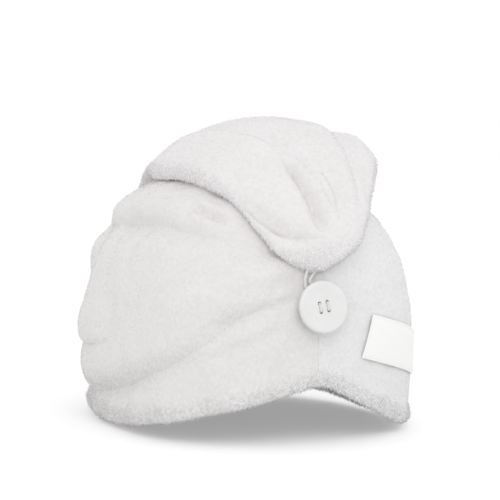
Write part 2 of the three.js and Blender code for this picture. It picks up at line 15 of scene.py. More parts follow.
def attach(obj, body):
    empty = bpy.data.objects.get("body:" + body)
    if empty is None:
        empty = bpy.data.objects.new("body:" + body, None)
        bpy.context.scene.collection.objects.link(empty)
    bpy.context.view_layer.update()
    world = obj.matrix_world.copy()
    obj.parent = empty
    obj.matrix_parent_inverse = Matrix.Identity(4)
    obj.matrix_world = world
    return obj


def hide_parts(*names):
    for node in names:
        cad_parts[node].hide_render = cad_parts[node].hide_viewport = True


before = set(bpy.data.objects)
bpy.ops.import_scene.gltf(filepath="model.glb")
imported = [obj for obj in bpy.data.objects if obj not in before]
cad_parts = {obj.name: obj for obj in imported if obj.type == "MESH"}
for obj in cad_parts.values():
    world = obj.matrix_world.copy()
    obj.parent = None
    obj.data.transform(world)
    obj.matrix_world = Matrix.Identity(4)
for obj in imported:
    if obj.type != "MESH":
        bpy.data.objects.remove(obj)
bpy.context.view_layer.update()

scene = bpy.context.scene

# %% [markdown]
# ## The camera
# The turban is seen from behind, turned 24 degrees towards the wearer's left and 4 degrees
# from above. A long lens 1.25 m away keeps the parallel look of a product picture. The camera
# is placed by three directions at right angles, which is easier to reason about than turns.

# %% Camera
around, above, away = math.radians(24), math.radians(4), 1.25
centre_right, centre_up = 0.0054, 0.0943
view_back = Vector(
    (math.sin(around) * math.cos(above), math.cos(around) * math.cos(above), math.sin(above))
)
view_right = Vector((-math.cos(around), math.sin(around), 0))
view_up = view_back.cross(view_right)
looked_at = view_right * centre_right + view_up * centre_up

camera_data = bpy.data.cameras.new("camera")
camera_data.lens = 150
camera_data.sensor_width = 36
camera = bpy.data.objects.new("camera", camera_data)
turned = Matrix((view_right, view_up, view_back)).transposed().to_4x4()
camera.matrix_world = Matrix.Translation(looked_at + view_back * away) @ turned
scene.collection.objects.link(camera)
scene.camera = camera
print("camera stands at", [round(v, 3) for v in camera.location])

# %% [markdown]
# ## The turban's sizes
# These are the same millimetres that the solids were made from. Repeating them lets the fine
# cloth be worked out again with many more points, on the same surface.

# %% Sizes in millimetres
half_width, half_length = 88, 108
crown_height, widest_height = 148, 50
hem_tuck = 3
# how square the plan is at the nape and the brow, and how full the dome is: 2 is an ellipse
nape_fullness, brow_fullness, dome_fullness = 2.9, 2.2, 2.25
# hem_rise is how far the hem's arch stands above its lowest point
cloth_wall, hem_thick, hem_height, hem_swell, hem_rise = 3.5, 7.5, 13, 1.2, 29
fold_rise = 7
# tail_lean is the share by which the tail is thinner on the wearer's left
tail_thick, tail_fold_rise, tail_fullness, tail_lean = 26, 5, 2.7, 0.38
dome_stretch = 1.35
dome_length = dome_stretch * (crown_height - widest_height)
meridian_end = widest_height + dome_length
mm_per_degree = math.radians((half_width + half_length) / 2)
tail_mm_per_degree = math.radians(crown_height - widest_height + tail_thick / 2)
print("the dome's quarter turn is", round(dome_length, 1), "mm long")

# %% [markdown]
# ## Tables for the cloth
# A worn towel has few rules, so its hem, its big side roll, its folds and its tail are kept
# as short tables. Angles run round the head from the nape towards the wearer's left. The
# last two tables hold the creases that are too fine for the solids, in millimetres deep, and
# the tail's rim is drawn a little rounder here than the solid has it.

# %% Hem and the two long lines of cloth
# angle, height as a share of hem_rise
hem_line = [
    (-180, 0.4), (-130, 0.2), (-90, 0), (-60, 0.02), (-36, 0.1), (-28, 0.24), (-14, 0.66),
    (-3, 0.98), (3, 0.98), (15, 0.78), (32, 0.52), (49, 0.28), (77, 0.06), (100, 0.04),
    (130, 0.16), (180, 0.4),
]
# angle, height as a share of the crown's height, rise as a share of fold_rise
roll_line = [
    (-180, 0.26, 0), (-100, 0.3, 0), (-40, 0.38, 0), (0, 0.5, 0), (8, 0.5, 0.02),
    (17, 0.472, 0.3), (25, 0.43, 0.4), (33, 0.35, 0.45), (46, 0.25, 0.5), (65, 0.163, 0.55),
    (82, 0.118, 0.62), (110, 0.084, 0.7), (140, 0.13, 0.45), (168, 0.22, 0.1), (180, 0.26, 0),
]
ridge_line = [
    (-180, 0.72, 0), (-60, 0.7, 0), (0, 0.68, 0), (16, 0.69, 0.05), (28, 0.72, 0.4),
    (45, 0.757, 0.55), (63, 0.777, 0.6), (90, 0.765, 0.75), (120, 0.74, 0.65), (150, 0.72, 0),
    (180, 0.72, 0),
]
# breadth of the roll and the ridge, and where the tail's cover starts, as shares of the height
roll_share, ridge_share, cover_share = 0.16, 0.11, 0.935
print(len(hem_line), "rows for the hem,", len(roll_line), "for the big roll,")
print(len(ridge_line), "for the ridge under the tail")

# %% Folds of the hood and stations of the tail
# form, rise, breadth, then angle and height where the fold starts, leans to and ends
hood_folds = [
    ("shelf", 0.6, 0.17, (74, 0.34), (112, 0.2), (166, 0.34)),
    ("ridge", 0.35, 0.05, (5, 0.6), (20, 0.55), (52, 0.46)),
    ("ridge", 0.3, 0.07, (72, 0.66), (90, 0.56), (118, 0.5)),
    ("ridge", 0.8, 0.08, (122, 0.7), (148, 0.6), (170, 0.22)),
    ("ridge", 0.7, 0.08, (-170, 0.2), (-150, 0.3), (-104, 0.16)),
    ("ridge", 0.7, 0.1, (-168, 0.36), (-140, 0.62), (-88, 0.56)),
]
# angle over the head, reach to the left and right in degrees, thickness as a share
tail_stations = [
    (21, 1.5, 1.5, 0.35), (23, 6.5, 6, 0.48), (27, 11.6, 11.7, 0.58), (31, 13.7, 14, 0.66),
    (37, 16.5, 16.8, 0.78), (45, 19, 20.5, 0.9), (59, 25, 28.5, 1), (75, 29, 33, 1),
    (92, 31, 32, 0.95), (110, 26, 29, 0.8), (128, 21, 24, 0.68), (143, 20, 21, 0.66),
    (160, 19, 19, 0.68), (176, 20, 20, 0.64), (187, 18, 18, 0.5), (192, 13, 13, 0.36),
    (195, 4, 4, 0.2),
]
# form, rise, breadth in mm, then angle over the head and side from -1 to 1
tail_folds = [
    ("crease", 0.9, 4, (26, -0.15), (38, 0.06), (66, 0.1)),
    ("crease", 0.8, 3.5, (31, -0.42), (42, -0.25), (76, 0.14)),
    ("crease", 1.1, 4, (33, -0.85), (46, -0.52), (92, -0.74)),
    ("crease", 0.8, 3.5, (41, 0.98), (28.5, 0.95), (28, -0.1)),
    ("shelf", 0.7, 12, (54, 0.1), (68, 0.42), (100, 0.62)),
    ("crease", 0.9, 4, (86, -0.8), (116, -0.4), (150, 0.6)),
    ("crease", 0.6, 4, (100, 0.2), (112, 0.6), (128, 0.9)),
    ("crease", 0.9, 4, (118, -0.9), (146, -0.4), (174, 0.8)),
    ("crease", 0.8, 4, (148, -0.9), (172, -0.3), (192, 0.4)),
]
print(len(hood_folds), "folds on the hood, and", len(tail_stations), "stations along the tail")

# %% Creases that are too fine for the solids
# form, rise in mm, breadth in mm, then angle and height in mm of three points
hood_creases = [
    ("valley", 4.5, 2.2, (46, 125), (36, 119.5), (26, 115)),
    ("crease", 0.8, 2.5, (102, 76), (92, 84), (80, 95)),
    ("valley", 2.0, 4.5, (3, 88), (12, 81), (34, 76)),
    ("ridge", 1.3, 5, (4, 94), (20, 91), (46, 87)),
    ("valley", 1.0, 4.0, (4, 99), (16, 101), (34, 98)),
    ("valley", 1.3, 3.0, (5, 76), (16, 71), (38, 54)),
    ("ridge", 0.9, 4, (7, 69), (24, 52), (44, 40)),
    ("valley", 0.9, 4.0, (7, 62), (20, 50), (38, 38)),
    ("valley", 1.0, 6.0, (104, 9), (72, 15), (36, 41)),
    ("valley", 2.8, 5.5, (104, 113), (58, 113), (24, 104)),
    ("ridge", 0.8, 3, (-9, 74), (-16, 80), (-30, 84)),
    ("crease", 0.5, 2.0, (-9, 68), (-16, 66), (-26, 68)),
    ("crease", 0.7, 3, (60, 30), (76, 22), (98, 20)),
    ("crease", 0.6, 3, (96, 30), (112, 34), (130, 50)),
    ("crease", 0.8, 3, (100, 62), (120, 70), (138, 96)),
    ("crease", 0.8, 3, (-60, 100), (-84, 86), (-110, 60)),
    ("crease", 0.8, 3, (-96, 40), (-120, 44), (-150, 26)),
]
# the same, with the angle over the head and the angle across
tail_creases = [
    ("crease", 3.2, 1.6, (55, 2.5), (43, 0), (26.5, -2.4)),
    ("crease", 2.4, 1.3, (51, -3), (41, -9), (32, -5)),
    ("valley", 3.0, 4.0, (58, 3), (43, 0), (26.5, -2.4)),
    ("valley", 3.2, 3.0, (60, -3), (42, -9.5), (31, -7)),
    ("valley", 2.4, 3.4, (90, -25), (56, -15), (31, -17.5)),
    ("valley", 1.8, 4.0, (104, 12), (76, 14), (56, 4)),
    ("crease", 1.3, 2.2, (68, -19), (50, -13.2), (33, -16)),
    ("crease", 2.6, 1.4, (46, 19.5), (33, 13.6), (28.5, 6)),
    ("valley", 2.2, 2.6, (47, 18.6), (34, 12.9), (29.2, 5)),
    ("crease", 1.6, 1.1, (30.5, 8), (28.5, 3), (27.8, -2.5)),
    ("crease", 1.5, 1.6, (94, 18), (72, 15), (58, 2)),
    ("crease", 1.2, 3.0, (76, 3), (60, 4), (48, -4)),
    ("valley", 1.0, 5.0, (90, -12), (72, -9), (54, -9)),
    ("crease", 1.2, 2.0, (84, 6), (108, 14), (132, 10)),
    ("crease", 1.2, 2.0, (98, -14), (124, -8), (150, 8)),
    ("crease", 1.2, 2.0, (124, -14), (150, -6), (178, 12)),
    ("crease", 1.2, 2.0, (150, -14), (172, -6), (190, 6)),
]
all_folds, all_creases = hood_folds + tail_folds, hood_creases + tail_creases
print(len(all_folds), "folds and", len(all_creases), "creases")

# %% [markdown]
# ## The crown's surface
# One function turns an angle and a place on the meridian into a point of the hood. It works
# on whole arrays, so a hundred thousand points take no longer than a few. A smooth curve
# through each table's rows keeps the hem and the folds free of corners.

# %% A smooth curve through a table
def along_table(rows, column, place):
    table = np.array(rows, dtype=float)
    xs, ys = table[:, 0], table[:, column]
    last = len(xs) - 1
    k = np.arange(last + 1)
    low, high = np.maximum(k - 1, 0), np.minimum(k + 1, last)
    slope = (ys[high] - ys[low]) / (xs[high] - xs[low])
    inside = np.clip(place, xs[0], xs[-1])
    i = np.clip(np.searchsorted(xs, inside) - 1, 0, last - 1)
    span = xs[i + 1] - xs[i]
    t = (inside - xs[i]) / span
    start = (2 * t**3 - 3 * t**2 + 1) * ys[i] + (t**3 - 2 * t**2 + t) * span * slope[i]
    return start + (3 * t**2 - 2 * t**3) * ys[i + 1] + (t**3 - t**2) * span * slope[i + 1]


def smooth_step(t):
    t = np.clip(t, 0, 1)
    return t * t * (3 - 2 * t)


print("the hem's share beside the nape:", round(float(along_table(hem_line, 1, 10)), 2))

# %% The plain crown
def plan_radius(angle):
    across = np.abs(np.sin(angle)) / half_width
    along = np.abs(np.cos(angle)) / half_length
    fullness = np.where(np.cos(angle) > 0, nape_fullness, brow_fullness)
    return (across**fullness + along**fullness) ** (-1 / fullness)


def hem_level(degrees):
    return hem_rise * along_table(hem_line, 1, degrees)


def meridian_at(height):
    up = np.clip((height - widest_height) / (crown_height - widest_height), 0, 1)
    turn = np.arcsin(up ** (dome_fullness / 2)) / (math.pi / 2)
    return np.where(height <= widest_height, height, widest_height + dome_length * turn)


def plain_crown(degrees, meridian):
    angle = np.radians(degrees)
    below = np.clip((widest_height - meridian) / widest_height, 0, None)
    rise = (math.pi / 2) * np.clip((meridian - widest_height) / dome_length, 0, 1)
    on_dome = meridian > widest_height
    climb = (crown_height - widest_height) * np.sin(rise) ** (2 / dome_fullness)
    height = np.where(on_dome, widest_height + climb, meridian)
    share = np.where(
        on_dome,
        np.clip(np.cos(rise), 0, 1) ** (2 / dome_fullness),
        1 - (hem_tuck / half_width) * below**2,
    )
    reach = plan_radius(angle) * share
    return np.stack([reach * np.sin(angle), reach * np.cos(angle), height + 0 * angle], axis=-1)


def crown_normal(degrees, meridian):
    turn, climb, top_gap = 0.5, 0.4, 0.5
    place = np.minimum(meridian, meridian_end - top_gap)
    round_it = plain_crown(degrees + turn, place) - plain_crown(degrees - turn, place)
    up = plain_crown(degrees, place + climb) - plain_crown(degrees, place - climb)
    normal = np.cross(up, round_it)
    return normal / np.linalg.norm(normal, axis=-1, keepdims=True)


print("hem at the nape:", round(float(hem_level(0)), 1), "mm above the lowest hem")

# %% [markdown]
# ## Folds
# A fold is a bow drawn on the unrolled cloth, with a profile across it: a ridge stands up, a
# valley sinks, a crease cuts in sharply, and a shelf rises on one side and dies away on the
# other. Sculpting would work as well, but bows in a table can be moved one at a time.

# %% Fold profiles and the height of a list of folds
def shelf(x, scale, power):
    x = np.maximum(x, 0)
    return scale * x**power * np.exp(-1.35 * x**1.5)


fold_forms = {
    "ridge": lambda x: np.exp(-x * x),
    "valley": lambda x: -np.exp(-x * x),
    "crease": lambda x: -np.exp(-np.abs(x)),
    "shelf": lambda x: shelf(x, 2.35, 0.45),
    "soft shelf": lambda x: shelf(x, 2.7, 0.75),
}
bow_steps, bow_fade = 14, 0.3


def fold_height(folds, x, y):
    total = np.zeros(np.shape(x))
    for form, rise, breadth, first, middle, last in folds:
        first, middle, last = (np.array(p, dtype=float) for p in (first, middle, last))
        best = np.full(total.shape, np.inf)
        along = np.zeros(total.shape)
        side = np.ones(total.shape)
        p = first
        # the nearest of the bow's short straight pieces gives distance, place and side
        for i in range(1, bow_steps + 1):
            t = i / bow_steps
            q = (1 - t) ** 2 * first + 2 * t * (1 - t) * middle + t * t * last
            d = q - p
            s = np.clip(((x - p[0]) * d[0] + (y - p[1]) * d[1]) / (d @ d), 0, 1)
            distance = np.hypot(x - p[0] - s * d[0], y - p[1] - s * d[1])
            nearer = distance < best
            best = np.where(nearer, distance, best)
            along = np.where(nearer, (i - 1 + s) / bow_steps, along)
            cross = (d[0] * (y - p[1]) - d[1] * (x - p[0])) * d[0]
            side = np.where(nearer, np.where(cross < 0, -1, 1), side)
            p = q
        ends = smooth_step(along / bow_fade) * smooth_step((1 - along) / bow_fade)
        total += rise * ends * fold_forms[form](side * best / breadth)
    return total


print("a shelf at half its breadth:", round(float(shelf(0.5, 2.35, 0.45)), 2), "of its rise")

# %% Folds placed on the unrolled hood
def unrolled(folds, across, up):
    scaled = np.array([across, up])
    return [(form, rise, wide, *(np.array(p) * scaled for p in points))
            for form, rise, wide, *points in folds]


hood_bows = [
    (form, rise, breadth * crown_height, *points)
    for form, rise, breadth, *points in unrolled(hood_folds, mm_per_degree, crown_height)
]
hood_fine_bows = unrolled(hood_creases, mm_per_degree, 1)
# the cloth dips a little at the foot of each long line: its share, place and breadth in mm
foot_dip, foot_below, foot_breadth = 0.3, 1, 7
brow_fade = 10


def line_lift(rows, share, degrees, height):
    edge = crown_height * along_table(rows, 1, degrees)
    step = along_table(rows, 1, degrees + 1) - along_table(rows, 1, degrees - 1)
    slope = crown_height * step / (2 * mm_per_degree)
    away = (height - edge) / np.hypot(1, slope)
    shape = fold_forms["soft shelf"](away / (share * crown_height))
    dip = foot_dip * np.exp(-(((away + foot_below) / foot_breadth) ** 2))
    return along_table(rows, 2, degrees) * (shape - dip)


def hood_lift(degrees, height):
    seam_fade = smooth_step((180 - np.abs(degrees)) / brow_fade)
    lift = fold_height(hood_bows, degrees * mm_per_degree, height) * seam_fade
    lift += line_lift(roll_line, roll_share, degrees, height)
    lift += line_lift(ridge_line, ridge_share, degrees, height)
    above_hem = (height - hem_level(degrees)) / hem_height
    return lift * fold_rise + hem_swell * (1 - smooth_step(above_hem))


lift_at_side = float(hood_lift(np.array(90.0), np.array(40.0)))
print("the folds lift the cloth", round(lift_at_side, 1), "mm at the side")

# %% [markdown]
# ## Slack in the cloth
# Between its folds a worn towel is never quite even. Twelve long soft waves in random
# directions, added together, give that slack without any texture, and short ones give the
# nubs of the brushed cloth. A fixed seed makes the same towel on every run.

# %% Slack in any piece of cloth
def slack(points, length, seed):
    dice = np.random.default_rng(seed)
    total = np.zeros(points.shape[:-1])
    for _ in range(12):
        wave = dice.normal(size=3)
        wave *= 2 * math.pi / (length * np.linalg.norm(wave) * dice.uniform(0.7, 1.5))
        total += np.sin(points @ wave + dice.uniform(0, 2 * math.pi))
    return total / 3.5


print("slack at three places:", np.round(slack(np.eye(3) * 60, 34, 3), 2))

# %% A point of the hood
pile_depth = 0.9
# lift in mm, wave length in mm and seed
hood_slack = [(0.55, 34, 3), (0.22, 11, 4)]
nub_lift, nub_length, nub_seed, nub_least = 0.34, 4.5, 5, 0.12
seam_dip, seam_breadth = 0.3, 2.2
brushed_hem, brushed_roll = 11, 9


def roll_band(degrees, height, breadth):
    above_roll = height - crown_height * along_table(roll_line, 1, degrees)
    return along_table(roll_line, 2, degrees) * np.exp(-(((above_roll - 4) / breadth) ** 2))


def hood_point(degrees, meridian, offset):
    point = plain_crown(degrees, meridian)
    height = point[..., 2]
    lift = hood_lift(degrees, height)
    lift += fold_height(hood_fine_bows, degrees * mm_per_degree, height)
    lift += sum(rise * slack(point, length, seed) for rise, length, seed in hood_slack)
    from_seam = np.minimum(np.abs(degrees), 180 - np.abs(degrees)) * mm_per_degree
    lift -= seam_dip * np.exp(-((from_seam / seam_breadth) ** 2))
    near_hem = 1 - smooth_step((height - hem_level(degrees)) / brushed_hem)
    brushed = np.clip(near_hem + 1.4 * roll_band(degrees, height, brushed_roll), nub_least, 1)
    lift += nub_lift * brushed * slack(point, nub_length, nub_seed)
    lift = lift - pile_depth + offset
    return point + crown_normal(degrees, meridian) * lift[..., None]


nape_cloth = hood_point(np.array(0.0), np.array(60.0), 0)
print("the cloth at the nape lies at", np.round(nape_cloth, 1), "mm")

# %% [markdown]
# ## The hood's two panels
# Each panel is one closed skin: outside from the hem to the top, round the rolled hem, and
# back up the inside. Rows of points follow the big roll and the ridge, so that their steep
# edges stay crisp. The two panels meet in the nape and brow seams, where the cloth dips.

# %% Rows of points from the hem to the top
rows_to_roll, rows_to_ridge, rows_to_cover, rows_to_top = 30, 60, 24, 15
outer_rows = rows_to_roll + rows_to_ridge + rows_to_cover + rows_to_top
row_packing = 1.3
print(outer_rows, "rows of points outside, from the hem to the top")


def meridian_of_row(degrees, row):
    stops = [0, rows_to_roll, rows_to_roll + rows_to_ridge, outer_rows - rows_to_top, outer_rows]
    places = [
        meridian_at(hem_level(degrees)),
        meridian_at(crown_height * along_table(roll_line, 1, degrees)),
        meridian_at(crown_height * along_table(ridge_line, 1, degrees)),
        meridian_at(crown_height * cover_share) + 0 * degrees,
        meridian_end + 0 * degrees,
    ]
    i = min(3, max(0, sum(row > stop for stop in stops) - 1))
    t = (row - stops[i]) / (stops[i + 1] - stops[i])
    t = t**row_packing if i == 1 else t
    return places[i] + (places[i + 1] - places[i]) * t


def mesh_object(name, points_mm, faces):
    mesh = bpy.data.meshes.new(name)
    mesh.from_pydata((np.asarray(points_mm) * 0.001).tolist(), [], faces)
    mesh.validate()
    mesh.shade_smooth()
    made = bpy.data.objects.new(name, mesh)
    scene.collection.objects.link(made)
    return made


# %% A panel's closed skin
panel_columns = 200
hem_steps = 12
# the inside has one row for three of the outside, and each panel stops just short of the seam
inner_every, seam_gap = 3, 0.04


def hood_panel(name, side):
    degrees = side * np.linspace(0, 180, panel_columns + 1)
    outer = [hood_point(degrees, meridian_of_row(degrees, r), 0) for r in range(outer_rows + 1)]
    inner = []
    for r in range(0, outer_rows + 1, inner_every):
        meridian = meridian_of_row(degrees, r)
        up = np.clip((meridian - hem_level(degrees)) / hem_height, 0, 1)
        wall = cloth_wall + (hem_thick - cloth_wall) * np.sqrt(1 - up * up) - 2 * pile_depth
        inner.append(hood_point(degrees, meridian, -wall))
    middle = (outer[0] + inner[0]) / 2
    half = outer[0] - middle
    size = np.linalg.norm(half, axis=-1)
    round_hem = []
    for i in range(1, hem_steps):
        turn = math.pi * i / hem_steps
        p = middle + half * math.cos(turn)
        p[:, 2] -= math.sin(turn) * size
        round_hem.append(p)
    # outside from the top down, round the hem, and up the inside
    rings = outer[::-1] + round_hem + inner
    grid = np.stack(rings, axis=1)
    for i in (0, panel_columns):
        grid[i, :, 0] = side * seam_gap
    return grid_to_panel(name, grid, side)


print(panel_columns * outer_rows, "faces on the outside of each panel")

# %% Faces between the points
def grid_to_panel(name, grid, side):
    count = grid.shape[1]
    index = np.arange(grid.shape[0] * count).reshape(grid.shape[0], count)
    index[:, 0] = index[0, 0]
    index[:, -1] = index[0, -1]
    faces = []
    for i in range(panel_columns):
        for k in range(count - 1):
            quad = [index[i, k], index[i, k + 1], index[i + 1, k + 1], index[i + 1, k]]
            quad = list(dict.fromkeys(int(v) for v in quad))
            faces.append(quad if side < 0 else quad[::-1])
    faces += seam_faces(index, side)
    return mesh_object(name, grid.reshape(-1, 3), faces)


# %% The cut edge of the cloth along the two seams
def seam_faces(index, side):
    faces = []
    nape, brow = index[0], index[panel_columns]
    hem_out, hem_in = outer_rows, outer_rows + hem_steps

    def close(loop, flip):
        faces.append([int(v) for v in dict.fromkeys(loop[::-1] if flip else loop)])

    for edge, flip in ((nape, side < 0), (brow, side > 0)):
        close(list(edge[hem_out : hem_in + 1]), flip)
        for j in range(outer_rows // inner_every):
            outside = [edge[hem_out - j * inner_every - s] for s in range(inner_every + 1)]
            inside = [edge[hem_in + j + 1], edge[hem_in + j]]
            close(outside + inside, not flip)
    return faces


hood_left = hood_panel("hood_left_plush", 1)
hood_right = hood_panel("hood_right_plush", -1)
for panel in (hood_left, hood_right):
    panel.data.set_sharp_from_angle(angle=math.radians(60))
print("each panel has", len(hood_left.data.polygons), "faces")

# %% [markdown]
# ## The twisted tail
# The long end of the towel is wound into a rope that lies over the crown. Its section is a
# fat half moon that rests on the hood. The visible outer half gets most of the points, and
# the underside is kept just clear of the hood's folds.

# %% The tail's surface
def over_direction(over, across):
    o, a = np.radians(over), np.radians(across)
    return np.stack([np.sin(a), np.cos(a) * np.cos(o), np.cos(a) * np.sin(o)], axis=-1)


def dome_radius(direction):
    level = np.hypot(direction[..., 0], direction[..., 1])
    reach = plan_radius(np.arctan2(direction[..., 0], direction[..., 1]))
    up = np.maximum(0, direction[..., 2]) / (crown_height - widest_height)
    return ((level / reach) ** dome_fullness + up**dome_fullness) ** (-1 / dome_fullness)


def tail_reach(over, side):
    left, right = along_table(tail_stations, 1, over), along_table(tail_stations, 2, over)
    return np.where(side > 0, left, right)


def on_tail(point):
    over, side = point
    return np.array([over, side * float(tail_reach(over, side))]) * tail_mm_per_degree


tail_bows = [
    (form, rise, breadth, *(on_tail(p) for p in points))
    for form, rise, breadth, *points in tail_folds
]
tail_fine_bows = unrolled(tail_creases, tail_mm_per_degree, tail_mm_per_degree)
tail_breadth = float(tail_reach(75, 1) + tail_reach(75, -1)) * tail_mm_per_degree
print("the tail is", round(tail_breadth), "mm broad over the top of the head")


# %% A point of the tail
# the section's middle, its outer and its inner height, as shares of its thickness
tail_middle, tail_outer, tail_inner = 0.42, 0.58, 0.67
tail_slack = [(0.6, 30, 8), (0.2, 9, 9)]
tail_nub_lift, tail_nub_seed = 0.3, 10
tail_clear = 0.7


def tail_point(over, turn):
    c, s = np.cos(turn), np.sin(turn)
    power = 2 / tail_fullness
    side = np.sign(c) * np.abs(c) ** power
    across = side * tail_reach(over, side)
    thick = tail_thick * along_table(tail_stations, 3, over) * (1 - tail_lean * side)
    away = np.abs(s) ** power
    lift = tail_middle + np.where(s > 0, tail_outer, -tail_inner) * away
    x, y = over * tail_mm_per_degree, across * tail_mm_per_degree
    outside = smooth_step(s * 3)
    fold = np.maximum(0, s) * fold_height(tail_bows, x, y) * tail_fold_rise
    fold += outside * fold_height(tail_fine_bows, x, y)
    direction = over_direction(over, across)
    plain = dome_radius(direction)
    place = direction * 100
    soft = sum(rise * slack(place, length, seed) for rise, length, seed in tail_slack)
    brushed = tail_nub_lift * np.clip(1.2 - np.abs(s), 0.1, 1)
    soft += brushed * slack(place, nub_length, tail_nub_seed)
    radius = plain + lift * thick + fold + smooth_step(s * 2 + 0.6) * (soft - pile_depth)
    degrees = np.degrees(np.arctan2(direction[..., 0], direction[..., 1]))
    height = widest_height + plain * direction[..., 2]
    resting = plain + np.maximum(0, hood_lift(degrees, height)) + tail_clear
    radius = np.maximum(radius, resting)
    return direction * radius[..., None] + np.array([0, 0, widest_height])


tip_top = tail_point(np.array(float(tail_stations[1][0])), np.array(math.pi / 2))
print("the tail's tip lies at", np.round(tip_top, 1), "mm")

# %% The tail's closed skin
# the part that the photo shows, up to 62 degrees over the head, gets rows three times as close
tail_tip, tail_dense, tail_brow = 21, 62, 195


def tail_skin(name):
    seen = np.linspace(tail_tip, tail_dense, 116)
    over = np.r_[seen, np.linspace(tail_dense, tail_brow, 126)[1:]]
    turn = np.r_[np.linspace(0, math.pi, 151)[:-1], np.linspace(math.pi, 2 * math.pi, 47)[:-1]]
    points = tail_point(over[:, None] + 0 * turn, turn + 0 * over[:, None])
    rings, sides = points.shape[:2]
    faces = []
    for i in range(rings - 1):
        for k in range(sides):
            n = (k + 1) % sides
            faces.append([i * sides + k, i * sides + n, (i + 1) * sides + n, (i + 1) * sides + k])
    flat = [points.reshape(-1, 3)]
    for ring, flip in ((0, False), (rings - 1, True)):
        middle = rings * sides + (1 if flip else 0)
        flat.append(points[ring].mean(axis=0)[None])
        for k in range(sides):
            fan = [middle, ring * sides + (k + 1) % sides, ring * sides + k]
            faces.append(fan[::-1] if flip else fan)
    return mesh_object(name, np.concatenate(flat), faces)


tail = tail_skin("tail_plush")
print("the tail has", len(tail.data.polygons), "faces")

# %% [markdown]
# ## Colour and node helpers
# Hex colours are what a person reads off a swatch, but shaders work in linear light, so one
# function converts them. A second one adds a node with its settings and its links. Every
# finish here ends in the same way, in a ramp of two colours, a bump and a shader, so a third
# one adds that end.

# %% Helpers for materials
def linear(hex_colour):
    values = [int(hex_colour[i : i + 2], 16) / 255 for i in (1, 3, 5)]
    made = [v / 12.92 if v <= 0.04045 else ((v + 0.055) / 1.055) ** 2.4 for v in values]
    return (*made, 1.0)


def add_node(tree, kind, settings=None, inputs=None):
    node = tree.nodes.new(kind)
    for key, value in (settings or {}).items():
        setattr(node, key, value)
    for key, value in (inputs or {}).items():
        if isinstance(value, bpy.types.NodeSocket):
            tree.links.new(value, node.inputs[key])
        else:
            node.inputs[key].default_value = value
    return node


def new_material(name):
    made = bpy.data.materials.new(name)
    made.use_nodes = True
    made.node_tree.nodes.clear()
    return made, made.node_tree


def finish_material(tree, tone, height, colours, stops, bump_mm, strength, sockets):
    ramp = add_node(tree, "ShaderNodeValToRGB", inputs={"Fac": tone})
    for element, stop, colour in zip(ramp.color_ramp.elements, stops, colours):
        element.position, element.color = stop, linear(colour)
    relief = {"Height": height, "Distance": bump_mm * 0.001, "Strength": strength}
    bump = add_node(tree, "ShaderNodeBump", inputs=relief)
    sockets = {"Base Color": ramp.outputs["Color"], "Normal": bump.outputs["Normal"], **sockets}
    skin = add_node(tree, "ShaderNodeBsdfPrincipled", inputs=sockets)
    add_node(tree, "ShaderNodeOutputMaterial", inputs={"Surface": skin.outputs["BSDF"]})


print("mid grey in linear light:", round(linear("#808080")[0], 3))

# %% [markdown]
# ## Microfibre plush
# The towel is warp-knitted polyester microfibre with a short cut pile. Its tufts lie in
# clumps about 2 mm across, which the eye reads as a fine soft mottle, and its fibre tips give
# a milky sheen at glancing angles. Roughness is near 1, as nothing in it is shiny. The left
# half and the tail are a trace warmer than the right half, as in the photo.

# %% Plush material
# uneven patches, tufts, and clumps of tufts
patch_mm, tuft_mm, clump_mm = 18, 1.6, 2.4


def plush_material(name, light, shade, bump_mm):
    made, tree = new_material(name)
    place = add_node(tree, "ShaderNodeTexCoord").outputs["Object"]
    patches = add_node(
        tree, "ShaderNodeTexNoise", None, {"Vector": place, "Scale": 1000 / patch_mm, "Detail": 3.0}
    )
    tufts = {"Vector": place, "Scale": 1000 / tuft_mm, "Detail": 2.0, "Roughness": 0.6}
    tufts = add_node(tree, "ShaderNodeTexNoise", None, tufts)
    clumps = {"Vector": place, "Scale": 1000 / clump_mm, "Smoothness": 0.6}
    clumps = add_node(tree, "ShaderNodeTexVoronoi", {"feature": "SMOOTH_F1"}, clumps)
    raised = {0: clumps.outputs["Distance"], 1: -0.8, 2: tufts.outputs["Fac"]}
    raised = add_node(tree, "ShaderNodeMath", {"operation": "MULTIPLY_ADD"}, raised).outputs[0]
    # the colour follows the raised tufts and clumps as well as the random patches, so the low
    # places between clumps are painted darker: painted shade
    tone = {0: patches.outputs["Fac"], 1: 0.6, 2: raised}
    tone = add_node(tree, "ShaderNodeMath", {"operation": "MULTIPLY_ADD"}, tone).outputs[0]
    matt = {
        "Roughness": 0.95, "Specular IOR Level": 0.2, "Sheen Weight": 0.12, "Sheen Roughness": 0.5,
    }
    finish_material(tree, tone, raised, (shade, light), (0.1, 0.75), bump_mm, 0.4, matt)
    return made


# the cloth under the pile: soft white and matt, with a shallow mottle of random patches and painted
# shade between the raised tufts and clumps
left_plush = plush_material("microfibre_plush_left", "#e4e1e1", "#dedbdb", 0.4)
right_plush = plush_material("microfibre_plush_right", "#e6e6e6", "#e0e0e0", 0.35)
tail_plush = plush_material("microfibre_plush_tail", "#e6e3e4", "#e0dddd", 0.4)
# the tufts are the same microfibre as the cloth, painted lighter: a painted highlight on their
# tips, and painted light that offsets the shade among the tufts and under the hem
left_pile_painted_light = plush_material("microfibre_pile_left_painted_light", "#edeaea", "#e6e3e3", 0.1)
right_pile_painted_light = plush_material("microfibre_pile_right_painted_light", "#efefef", "#e9e9e9", 0.1)
tail_pile_painted_light = plush_material("microfibre_pile_tail_painted_light", "#faf7f8", "#efeced", 0.1)
hem_pile_painted_light = plush_material("microfibre_pile_hem_painted_light", "#ffffff", "#e3e0e0", 0.1)
for piece, finish in ((hood_left, left_plush), (hood_right, right_plush), (tail, tail_plush)):
    piece.data.materials.append(finish)
    print(piece.name, "wears", finish.name)

